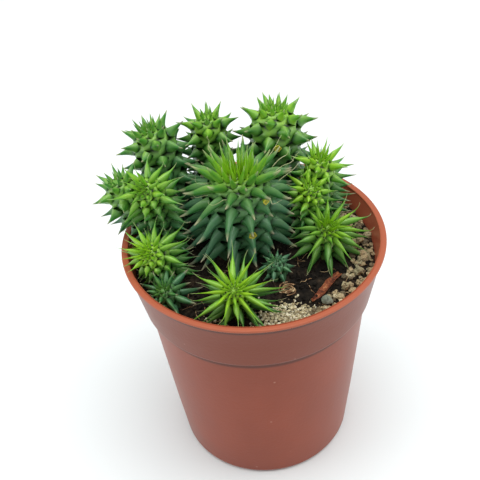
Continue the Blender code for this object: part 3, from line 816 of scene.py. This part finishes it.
def hornPoint(growth, horn, level, corner):
    # One of a level's eight corners: first on the ribbed body, then round the tubercle's middle line
    t = tubercle["along"][level]
    angle = corner * math.pi / 4
    onBody, body = 0.0, None
    onRib = corner in (2, 6)
    if level < len(tubercle["spread"]):
        onBody = tubercle["ribBlend" if onRib else "blend"][level]
        step = horn["tall"][level] / max(horn["tall"][0], 0.01) * tubercle["seat"]
        share = tubercle["diagonal"][level] if corner % 2 else 1.0
        across = -0.5 * share * tubercle["spread"][level] * np.sign(round(math.cos(angle), 3))
        along = share * step * np.sign(round(math.sin(angle), 3))
        crests = tubercle[cornerKinds[corner]][level]
        body = skin(growth, horn["column"] + across, horn["ring"] + along, crests)[0]
        if onRib:
            body = body + horn["normal"] * t * horn["reach"] * 0.5
        if onBody == 1.0:
            return body
    a, b, c, d = horn["line"]
    tangent = ((b - a) * (1 - t) ** 2 + (c - b) * 2 * t * (1 - t) + (d - c) * t * t).normalized()
    side = (horn["side"] - tangent * horn["side"].dot(tangent)).normalized()
    above = tangent.cross(side)
    if above.dot(horn["up"]) < 0:
        above = -above
    wide = horn["wide"][level]
    tall = max(horn["tall"][level], wide * 1.05)
    bulge = 1.0 if corner % 2 == 0 else 0.97
    offset = (side * math.cos(angle) * wide + above * math.sin(angle) * tall) * bulge
    rounded = bezier(a, b, c, d, t) + offset
    return body * onBody + rounded * (1 - onBody) if onBody else rounded


def modelStem(name):
    stem = stems[name]
    rng = random.Random(name)
    path = stemPath(stem)
    places = ringPlaces(stem, path[1][-1])
    around, top = stem["around"], len(places) - 1
    growth = dict(path=path, places=places, around=around)
    planes = walls(name)
    obj = modelLattice(camel(name), around, len(places))
    cells = raiseCells(obj, around)
    # the random draws go from the lowest cell up, because the faces' own order isn't the same each run
    horns = {}
    for number in sorted(range(len(cells)), key=lambda number: cells[number][::-1]):
        horns[number] = modelHorn(growth, stem, *cells[number], planes, rng)
    count = len(obj.data.vertices)
    cellOf, spotOf = np.zeros(count, int), np.zeros(count, int)
    obj.data.attributes["cell"].data.foreach_get("value", cellOf)
    obj.data.attributes["spot"].data.foreach_get("value", spotOf)
    marks = {key: np.zeros(count, np.float32) for key in ("along", "age", "crest", "tone", "pit")}
    for i, vert in enumerate(obj.data.vertices):
        if cellOf[i] < 0:
            column, ring = latticeSpot(vert.co, around)
            kind = "rib"
            if ring % 1:
                aside = (column - 0.25 + 0.5 * ((ring - 0.5) % 2)) % 1
                kind = "pit" if aside == 0.5 else "rung"
            vert.co = skin(growth, column, ring, tubercle["spot"][kind])[0] * mm
            marks["age"][i] = ageAt(stem, ring / top)
            marks["tone"][i] = 0.5
            # the pit mark sets painted shade in the grooves between the cells
            marks["pit"][i] = 0.0 if ring > top - 1.5 else tubercle["spotPit"][kind]
            marks["crest"][i] = tubercle["spotCrest"][kind]
            continue
        horn = horns[cellOf[i]]
        level, corner = divmod(int(spotOf[i]), 8)
        kind = cornerKinds[corner]
        vert.co = hornPoint(growth, horn, level, corner) * mm
        marks["along"][i] = tubercle["along"][level]
        marks["age"][i] = horn["age"]
        # the crest mark is paleness that is partly a painted highlight, weaker on the lower rib corner
        # so the top stays lighter
        marks["crest"][i] = tubercle["pale"][kind][min(level, 5)] * (0.7 if corner == 6 else 1.0)
        marks["tone"][i] = horn["tone"]
        marks["pit"][i] = tubercle["deep"][kind][level] if level < 2 else 0.0
    for key, values in marks.items():
        storeMark(obj, key, values)
    closeEnds(obj, stem, path[0][-1] * mm)
    for key in ("cell", "spot"):
        obj.data.attributes.remove(obj.data.attributes[key])
    applyModifier(obj, "SUBSURF", levels=1, render_levels=1)
    smooth(obj)
    return obj


def closeEnds(obj, stem, tip):
    # Points drawn together, the crown's opening filled, and the neck led down into the soil
    editAll(obj)
    pickFaces(8)
    bpy.ops.mesh.merge(type="COLLAPSE")
    foot = Vector((*stem["foot"], ground(*stem["foot"]))) * mm

    def isAtCrown(edge):
        centre = (edge.verts[0].co + edge.verts[1].co) / 2
        return len(edge.link_faces) == 1 and (centre - tip).length < (centre - foot).length

    pickEdges(obj, isAtCrown)
    bpy.ops.mesh.edge_face_add()
    bpy.ops.mesh.poke()
    pickEdges(obj, lambda edge: len(edge.link_faces) == 1)
    extrude((0, 0, -stem["buried"] * mm))
    mesh = bmesh.from_edit_mesh(obj.data)
    for vert in mesh.verts:
        if vert.select:
            vert.co = foot + (vert.co - foot) * tubercle["root"]
            vert.co.z = foot.z - stem["buried"] * mm
    bmesh.update_edit_mesh(obj.data)
    bpy.ops.mesh.edge_face_add()
    endEdit()


def stemSkin():
    # Living succulent skin under a thin wax: satin-glossy, lime where new, bottle green to teal where
    # old, with dry, straw-coloured points, darker in its grooves, partly with painted shade, and paler
    # on its ribs, partly with a painted highlight
    made, tree, shader = newMaterial("waxySucculentSkin", {"IOR": 1.45, "Metallic": 0.0})
    place = addNode(tree, "TexCoord", output="Object")
    along, age, crest, tone, pit = (
        addNode(tree, "Attribute", output="Fac", attribute_name=name)
        for name in ("along", "age", "crest", "tone", "pit"))
    mottle = addNode(tree, "TexNoise", {"Scale": 1 / 0.003, "Detail": 3.0, "Vector": place})
    fine = addNode(tree, "TexNoise", {"Scale": 1 / 0.0005, "Detail": 2.0, "Vector": place})
    # age, shaken a little by the mottling and by each tubercle's own tone
    shaken = age
    for source, strength in (mottle, 0.30), (tone, 0.16):
        shake = addNode(
            tree, "Math", {0: source, 1: strength, 2: -strength / 2}, operation="MULTIPLY_ADD")
        shaken = addNode(tree, "Math", {0: shaken, 1: shake}, operation="ADD")
    green = addNode(tree, "ValToRGB", {"Fac": shaken}, [
        (0.0, "#7DBB16"), (0.2, "#62A51F"), (0.42, "#3C8229"), (0.65, "#316E31"), (0.85, "#2F693A"),
        (1.0, "#356548")])
    # darker in the grooves and pits: partly a darker green, partly painted shade
    grooveShade = addNode(tree, "ValToRGB", {"Fac": pit}, [
        (0.05, "#FFFFFF"), (0.4, "#9DB48C"), (0.65, "#5A7450"), (0.9, "#2A3E26")])
    shaded = addNode(
        tree, "Mix", {"Factor": 1.0, "A": green, "B": grooveShade},
        data_type="RGBA", blend_type="MULTIPLY")
    # the ribs and the roots of the tubercles are paler than their sides: partly a paler green, partly a
    # painted highlight on their upper sides
    pale = addNode(tree, "ValToRGB", {"Fac": shaken}, [
        (0.0, "#B4D83A"), (0.3, "#9CCB4E"), (0.6, "#76A356"), (1.0, "#5C8A62")])
    crest = addNode(
        tree, "MapRange", {"From Min": 0.1, "From Max": 1.0, "To Max": 0.85, "Value": crest})
    paleAndHighlight = addNode(tree, "Mix", {"A": shaded, "B": pale, "Factor": crest}, data_type="RGBA")
    # dry points
    dry = addNode(tree, "MapRange", {"From Min": 0.62, "From Max": 1.02, "Value": along})
    straw = addNode(
        tree, "ValToRGB", {"Fac": age}, [(0.0, "#C3D79A"), (0.5, "#CDBF9C"), (1.0, "#B5A58A")])
    colour = addNode(tree, "Mix", {"A": paleAndHighlight, "B": straw, "Factor": dry}, data_type="RGBA")
    rough = addNode(tree, "MapRange", {"To Min": 0.28, "To Max": 0.62, "Value": dry})
    bump = addNode(tree, "Bump", {"Strength": 0.25, "Distance": 0.0002, "Height": fine})
    setInputs(tree, shader, {"Base Color": colour, "Roughness": rough, "Normal": bump})
    return made


# Loose things on the soil, in mm and degrees: a drift of cream grit behind the front rim, stray grains
# at the left, a band of pumice rubble along the right wall, peat crumbs and fibres everywhere
loose = dict(
    grit=1200, gritMiddle=(8.6, -28.8), gritSpread=(5.0, 3.0), gritSize=(0.3, 0.58), gritHeap=1.3,
    stray=90, strayMiddle=(-16.8, -29.2), straySpread=(3.6, 2.4), strayHeap=0.2, gritRoom=0.4,
    rubble=260, rubbleTurn=(-62, 40), rubbleInset=(0.7, 8.5), rubbleSize=(0.4, 1.25),
    rubbleHeap=0.5, rubbleRoom=0.5, crumbs=1100, crumbReach=38, crumbSize=(0.35, 1.1), crumbRoom=0.6,
    fibres=60, fibreGirth=0.11, fibreLength=(2.5, 6.5), fibreRoom=2.5, anyTurn=(0, 6.28))


def modelLump(name, detail, wobble, seed, flats=5):
    # A stone of radius 1: a sphere pushed in and out by noise, with a few broken faces
    startClean()
    bpy.ops.mesh.primitive_ico_sphere_add(subdivisions=detail, radius=1)
    obj = newPiece(name)
    rng = random.Random(seed)
    cuts = [Vector([rng.gauss(0, 1) for _ in range(3)]).normalized() for _ in range(flats)]
    for vert in obj.data.vertices:
        start = vert.co + Vector((seed * 3.7, 0, 0))
        rough = noise.noise(start * 1.2) + 0.35 * noise.noise(start * 3.1)
        spot = vert.co * (1 + wobble * rough)
        for cut in cuts:
            over = spot.dot(cut) - 0.72
            if over > 0:
                spot = spot - cut * over * 0.85
        vert.co = spot
    return obj


def placeCopy(model, name, place, size, turn, tone):
    # A copy with its own mesh: sized and turned, set down at its place, with a tone of its own
    copy = model.copy()
    copy.data = model.data.copy()
    copy.name = name
    bpy.context.scene.collection.objects.link(copy)
    shape = Matrix.Rotation(turn, 4, "Z") @ Matrix.Diagonal((*(Vector(size) * mm), 1))
    copy.data.transform(Matrix.Translation(Vector(place) * mm) @ shape)
    storeMark(copy, "tone", [tone] * len(copy.data.vertices))
    return copy


def isOpenSoil(x, y, room):
    # Inside the pot and clear of every stem's foot
    if math.hypot(x, y) > potInside(ground(x, y)) - room:
        return False
    return all(
        math.hypot(x - stem["foot"][0], y - stem["foot"][1]) > stem["body"] + room
        for stem in stems.values())


def scatter(name, models, spots, rng, flatness=0.75):
    # One object of many small lumps at the spots (x, y, radius, lift over the soil)
    parts = []
    for x, y, size, lift in spots:
        shape = [size * rng.uniform(0.75, 1.25) for _ in range(3)]
        shape[2] *= flatness
        place = (x, y, roughGround(x, y) + lift + shape[2] * 0.35)
        model = rng.choice(models)
        parts.append(placeCopy(model, name, place, shape, rng.uniform(*loose["anyTurn"]), rng.random()))
    return joinAll(name, parts)


def drift(rng, middle, spread, heap):
    # Heaped about a middle and thinning out
    u, v = rng.gauss(0, 1), rng.gauss(0, 1)
    return middle[0] + u * spread[0], middle[1] + v * spread[1], heap * math.exp(-(u * u + v * v) / 2)


def band(rng):
    # Along the right wall, most of it close to the wall
    turn = math.radians(rng.uniform(*loose["rubbleTurn"]))
    reach = potInside(soil["level"]) - between(*loose["rubbleInset"], rng.random() ** 1.5)
    return reach * math.cos(turn), reach * math.sin(turn), loose["rubbleHeap"]


def anywhere(rng):
    side = (-loose["crumbReach"], loose["crumbReach"])
    return rng.uniform(*side), rng.uniform(*side), 0.0


def openSpots(rng, count, room, sizes, draw, *settings):
    # Spots (x, y, radius, lift over the soil), drawn until that many are clear of the stems
    spots = []
    while len(spots) < count:
        x, y, heap = draw(rng, *settings)
        if isOpenSoil(x, y, room):
            spots.append((x, y, rng.uniform(*sizes), heap * rng.random() if heap else 0.0))
    return spots


def stoneMaterial(name, stops, poreSize, grain, roughness=0.92):
    # Stone: a colour for each lump from its own tone, with painted shade in its pores, and a grainy dull
    # surface
    made, tree, shader = newMaterial(
        name, {"Roughness": roughness, "IOR": 1.5, "Specular IOR Level": 0.25})
    place = addNode(tree, "TexCoord", output="Object")
    tone = addNode(tree, "Attribute", output="Fac", attribute_name="tone")
    shade = addNode(tree, "ValToRGB", {"Fac": tone}, stops)
    pores = addNode(tree, "TexNoise", {"Scale": 1 / poreSize, "Detail": 4.0, "Vector": place})
    # painted shade: darker where the pores sink in
    dark = addNode(tree, "ValToRGB", {"Fac": pores}, [(0.34, "#6E6355"), (0.5, "#FFFFFF")])
    mixed = addNode(
        tree, "Mix", {"Factor": 0.8, "A": shade, "B": dark},
        data_type="RGBA", blend_type="MULTIPLY")
    bump = addNode(tree, "Bump", {"Strength": 0.8, "Distance": grain, "Height": pores})
    setInputs(tree, shader, {"Base Color": mixed, "Normal": bump})
    return made


def barkMaterial(name, stops):
    # Dry bark and roots: blotchy streaks of fibre, red-brown to straw
    made, tree, shader = newMaterial(name, {"Roughness": 0.78, "IOR": 1.45})
    place = addNode(tree, "TexCoord", output="Object")
    streaks = addNode(tree, "TexNoise", {
        "Scale": 1 / 0.0016, "Detail": 5.0, "Distortion": 1.2, "Vector": place})
    shade = addNode(tree, "ValToRGB", {"Fac": streaks}, stops)
    bump = addNode(tree, "Bump", {"Strength": 0.6, "Distance": 0.0002, "Height": streaks})
    setInputs(tree, shader, {"Base Color": shade, "Normal": bump})
    return made


def layStones():
    rng = random.Random("stones")
    pumiceRock = stoneMaterial("weatheredPumice", [
        (0.0, "#6A604C"), (0.3, "#A3926F"), (0.55, "#C7B28A"), (0.8, "#9A9474"), (1.0, "#DCCDA8")],
        0.0006, 0.0005)
    creamRock = stoneMaterial("limestoneGrit", [
        (0.0, "#6F6550"), (0.3, "#B0A27C"), (0.7, "#D8CEA8"), (1.0, "#EFEAD2")], 0.0005, 0.0002)
    greenRock = stoneMaterial("wornPebble", [(0.0, "#7F8676"), (1.0, "#7F8676")], 0.0011, 0.0003, 0.75)
    peatLumps = [modelLump("crumbModel%d" % i, 1, 0.9, 40 + i, 2) for i in range(3)]
    smallLumps = [modelLump("grainModel%d" % i, 1, 0.5, 20 + i, 3) for i in range(4)]
    bigLumps = [modelLump("rubbleModel%d" % i, 2, 0.6, 30 + i) for i in range(4)]
    spots = []
    for kind in ("grit", "stray"):
        spots += openSpots(
            rng, loose[kind], loose["gritRoom"], loose["gritSize"],
            drift, loose[kind + "Middle"], loose[kind + "Spread"], loose[kind + "Heap"])
    finishPiece(scatter("creamGrit", smallLumps, spots, rng), creamRock, "grit")
    spots = openSpots(rng, loose["rubble"], loose["rubbleRoom"], loose["rubbleSize"], band)
    finishPiece(scatter("pumiceRubble", bigLumps, spots, rng), pumiceRock, "pumice")
    spots = openSpots(rng, loose["crumbs"], loose["crumbRoom"], loose["crumbSize"], anywhere)
    finishPiece(scatter("peatCrumbs", peatLumps, spots, rng), peatMaterial, "potting_soil")
    for model in peatLumps + smallLumps + bigLumps:
        bpy.data.objects.remove(model)
    # the stones that are CAD nodes: material, detail and wobble of each kind
    rocks = dict(
        pumice=(pumiceRock, 4, 0.6), grit=(creamRock, 2, 0.6), pebble_stone=(greenRock, 4, 0.35))
    for number, node in enumerate(name for name in slotOf if slotOf[name] in rocks):
        place, half = nodePlace(node)
        rock, detail, wobble = rocks[slotOf[node]]
        model = modelLump("lumpModel", detail, wobble, 60 + number)
        reach = [max(abs(vert.co[axis]) for vert in model.data.vertices) for axis in range(3)]
        size = [a / b for a, b in zip(half, reach)]
        stone = placeCopy(model, camel(node), place, size, 0, rng.uniform(0.2, 0.8))
        bpy.data.objects.remove(model)
        if rock == greenRock:
            smooth(stone)
        finishPiece(stone, rock, slotOf[node], [node])


# Sizes in mm. A rootlet is its thickness, its reach as a share of the CAD node's, and its turns.
bark = dict(
    cells=(40, 8), width=1.05, taper=0.45, ragged=0.25, curl=0.55, thick=0.3,
    rootlets=((0.4, 1.0, 1.4), (0.26, 1.3, 0.8), (0.22, 1.1, 0.9), (0.2, 1.6, 0.6), (0.16, 1.9, 0.5),
              (0.14, 1.4, 0.7)),
    corners=36, fibre=(0.4, 0.8, 1, 1, 0.9, 0.8, 0.6, 0.25))


def modelBarkSliver():
    # A curled flake of bark, ragged at its ends, from the middle of the pot out to the rim
    place, half = nodePlace("bark_sliver")
    columns, rows = bark["cells"]
    startClean()
    bpy.ops.mesh.primitive_grid_add(x_subdivisions=columns, y_subdivisions=rows, size=2)
    obj = newPiece("barkSliver")
    ahead = Vector((half[0], half[1], 0))
    length = ahead.length - 0.5
    ahead.normalize()
    across = Vector((-ahead.y, ahead.x, 0))
    for vert in obj.data.vertices:
        u, v = vert.co.x, vert.co.y
        ragged = bark["ragged"] * noise.noise(Vector((u * 4, v * 2, 1)))
        width = (bark["width"] - bark["taper"] * u * u + ragged) * (1 - 0.5 * max(0, -u - 0.6) / 0.4)
        curl = bark["curl"] * (v * v - 0.4) + 0.25 * noise.noise(Vector((u * 3, v * 3, 5)))
        lie = 0.35 * math.sin(2.4 * u + 0.5)
        spot = Vector(place) + ahead * u * length + across * (v * width + 0.5 * math.sin(2 * u))
        vert.co = (spot + Vector((0, 0, curl + lie))) * mm
    applyModifier(obj, "SOLIDIFY", thickness=bark["thick"] * mm)
    smooth(obj, 40)
    return obj


def modelStrand(name, points, girths, sides=5):
    # A thin round strand through points (mm), one ring of corners at each
    obj = stackRings(name, sides, len(points))
    endEdit()
    side = Vector((0.3, 0.5, 0.8))
    frames = []
    for i, point in enumerate(points):
        ahead = (points[min(i + 1, len(points) - 1)] - points[max(i - 1, 0)]).normalized()
        side = (side - ahead * side.dot(ahead)).normalized()
        frames.append((point, side.copy(), ahead.cross(side)))
    for vert in obj.data.vertices:
        ring = round(vert.co.z)
        angle = math.atan2(vert.co.y, vert.co.x)
        point, across, above = frames[ring]
        vert.co = (point + (across * math.cos(angle) + above * math.sin(angle)) * girths[ring]) * mm
    smooth(obj)
    return obj


def lyingStrand(rng, x, y, length, girth):
    # A fibre lying on the soil in a loose wavy line
    heading, points = rng.uniform(0, fullTurn), []
    for _ in bark["fibre"]:
        points.append(Vector((x, y, roughGround(x, y) + girth * 1.5 + rng.uniform(0, 0.35))))
        heading += rng.uniform(-0.7, 0.7)
        x, y = x + math.cos(heading) * length / 7, y + math.sin(heading) * length / 7
    return modelStrand("fibre", points, [girth * share for share in bark["fibre"]])


def modelRootCurl():
    # Dry rootlets wound into a loose tangle: a thick one and thinner ones round it
    place, half = nodePlace("root_curl")
    rng = random.Random("curl")
    strands = []
    for thick, wide, turns in bark["rootlets"]:
        start, lean = rng.uniform(*loose["anyTurn"]), rng.uniform(-0.5, 0.5)
        aside = Vector((rng.uniform(-1, 1), rng.uniform(-0.8, 0.8), 0)) * (wide - 0.6)
        points, girths = [], []
        for i in range(bark["corners"]):
            share = i / (bark["corners"] - 1)
            turn = start + loose["anyTurn"][1] * turns * share
            reach = wide * (0.95 - 0.4 * share + 0.14 * math.sin(9 * share + start))
            height = -0.2 + 1.2 * share * share + lean * math.sin(turn) + 0.4 * lean
            spot = Vector((half[0] * reach * math.cos(turn), half[1] * reach * math.sin(turn), height))
            points.append(Vector(place) + spot + aside)
            swell = 0.5 * math.sin(math.pi * min(share * 1.6 + 0.15, 1))
            girths.append(thick * (0.5 + swell + 0.15 * math.sin(31 * share)))
        strands.append(modelStrand("rootlet", points, girths, 8))
    return joinAll("rootCurl", strands)


def layBark():
    rng = random.Random("bark")
    redBark = barkMaterial(
        "dryBark", [(0.3, "#34170D"), (0.48, "#6E351C"), (0.62, "#94532F"), (0.75, "#B98A5C")])
    strawRoot = barkMaterial("dryRoot", [(0.3, "#5B3B26"), (0.5, "#9A7650"), (0.68, "#CDB68C")])
    finishPiece(modelBarkSliver(), redBark, "bark", ["bark_sliver"])
    finishPiece(modelRootCurl(), strawRoot, "bark", ["root_curl"])
    strands = []
    while len(strands) < loose["fibres"]:
        x, y = rng.uniform(-34, 36), rng.uniform(-36, 34)
        if isOpenSoil(x, y, loose["fibreRoom"]):
            length = rng.uniform(*loose["fibreLength"])
            strands.append(lyingStrand(rng, x, y, length, loose["fibreGirth"] * rng.uniform(0.6, 1.5)))
    finishPiece(joinAll("peatFibres", strands), strawRoot, "bark")


layStones()
layBark()
print("stones, grit, crumbs and bark are laid")


# The flower, ring by ring: radius, height, depth of the lobes and place in the colour ramp
cyathium = dict(sides=20, lobes=5, droop=0.3, rings=(
    (0.45, -1.0, 0.0, 0.0), (0.62, -0.6, 0.0, 0.0), (0.85, -0.1, 0.05, 0.25), (1.05, 0.35, 0.16, 0.6),
    (1.0, 0.5, 0.2, 0.7), (0.72, 0.42, 0.12, 0.85), (0.45, 0.2, 0.0, 0.95), (0.25, 0.3, 0.0, 0.4),
    (0.08, 0.55, 0.0, 0.4)))
# The dry threads: where each starts and ends in mm, and their girth at both ends
threads = dict(corners=12, sway=0.5, loop=0.9, girth=0.13, taper=0.09, ends=(
    ((7.5, 8.0, 106.5), (14.5, 14.5, 109.5)), ((8.0, 6.0, 106.0), (16.5, 10.5, 109.0)),
    ((5.5, 9.5, 108.0), (11.5, 17.0, 111.5)), ((-9.5, 10.5, 108.0), (-13.0, 17.5, 112.5)),
    ((9.0, 3.0, 104.5), (16.5, 6.5, 108.5)), ((-11.5, 5.0, 103.0), (-16.5, 3.0, 107.5)),
    ((-12.0, 2.0, 101.0), (-18.0, 0.5, 104.0)), ((-7.0, -4.0, 104.0), (-12.5, -8.0, 106.0)),
    ((4.5, -4.5, 103.5), (8.5, -9.0, 105.0))))


def modelCyathium(node, stem):
    # A tiny cup with five lobes round its rim, standing off the stem between two tubercles
    place, half = nodePlace(node)
    axis = min(stemPath(stems[stem])[0], key=lambda point: abs(point.z - place[2]))
    turn = Vector((0, 0, 1)).rotation_difference((Vector(place) - axis).normalized())
    obj = stackRings(camel(node), cyathium["sides"], len(cyathium["rings"]))
    endEdit()
    tones = []
    for vert in obj.data.vertices:
        radius, height, depth, tone = cyathium["rings"][round(vert.co.z)]
        angle = math.atan2(vert.co.y, vert.co.x)
        lobe = depth * math.cos(cyathium["lobes"] * angle)
        radius *= 1 + lobe
        height -= lobe * cyathium["droop"]
        spot = Vector((radius * math.cos(angle), radius * math.sin(angle), height))
        vert.co = (Vector(place) + turn @ spot * max(half)) * mm
        tones.append(tone)
    storeMark(obj, "tone", tones)
    applyModifier(obj, "SUBSURF", levels=1, render_levels=1)
    smooth(obj)
    return obj


def petalSkin():
    # The flower's own waxy skin: green outside, yellow on the lobes, dark olive in the middle
    made, tree, shader = newMaterial("waxyFlowerCup", {"Roughness": 0.35, "IOR": 1.45})
    tone = addNode(tree, "Attribute", output="Fac", attribute_name="tone")
    shade = addNode(tree, "ValToRGB", {"Fac": tone}, [
        (0.0, "#5E8A24"), (0.4, "#93A62C"), (0.7, "#C2B331"), (0.85, "#A9A83A"), (1.0, "#5E641C")])
    setInputs(tree, shader, {"Base Color": shade})
    return made


def dryThreads():
    # Dead thread tips that curl up from the big stem's shoulder, pale as straw
    rng = random.Random("threads")
    shares = [i / (threads["corners"] - 1) for i in range(threads["corners"])]
    strands = []
    for start, end in threads["ends"]:
        points, sway = [], 0.0
        for share in shares:
            sway += rng.uniform(-threads["sway"], threads["sway"])
            loop = Vector((math.sin(6 * share + sway), math.cos(5 * share + sway), math.sin(7 * share)))
            points.append(Vector(start).lerp(Vector(end), share) + loop * threads["loop"] * share)
        girths = [threads["girth"] - threads["taper"] * share for share in shares]
        strands.append(modelStrand("thread", points, girths))
    return joinAll("dryThreads", strands)


flowerMaterial = petalSkin()
for flower, bearer in (
        ("cyathium_right", "main_stem"), ("cyathium_front", "main_stem"),
        ("cyathium_back", "stem_back_right")):
    finishPiece(modelCyathium(flower, bearer), flowerMaterial, "flower", [flower])
threadMaterial = barkMaterial("dryThread", [(0.3, "#8F9460"), (0.5, "#BFC490"), (0.7, "#DDDCB4")])
finishPiece(dryThreads(), threadMaterial, "bark")
print("flowers and dry threads are modelled")


skinMaterial = stemSkin()
for stemName in stems:
    piece = modelStem(stemName)
    finishPiece(piece, skinMaterial, slotOf[stemName], [stemName])
    print(stemName, "has", len(piece.data.polygons), "faces")

bpy.context.view_layer.update()
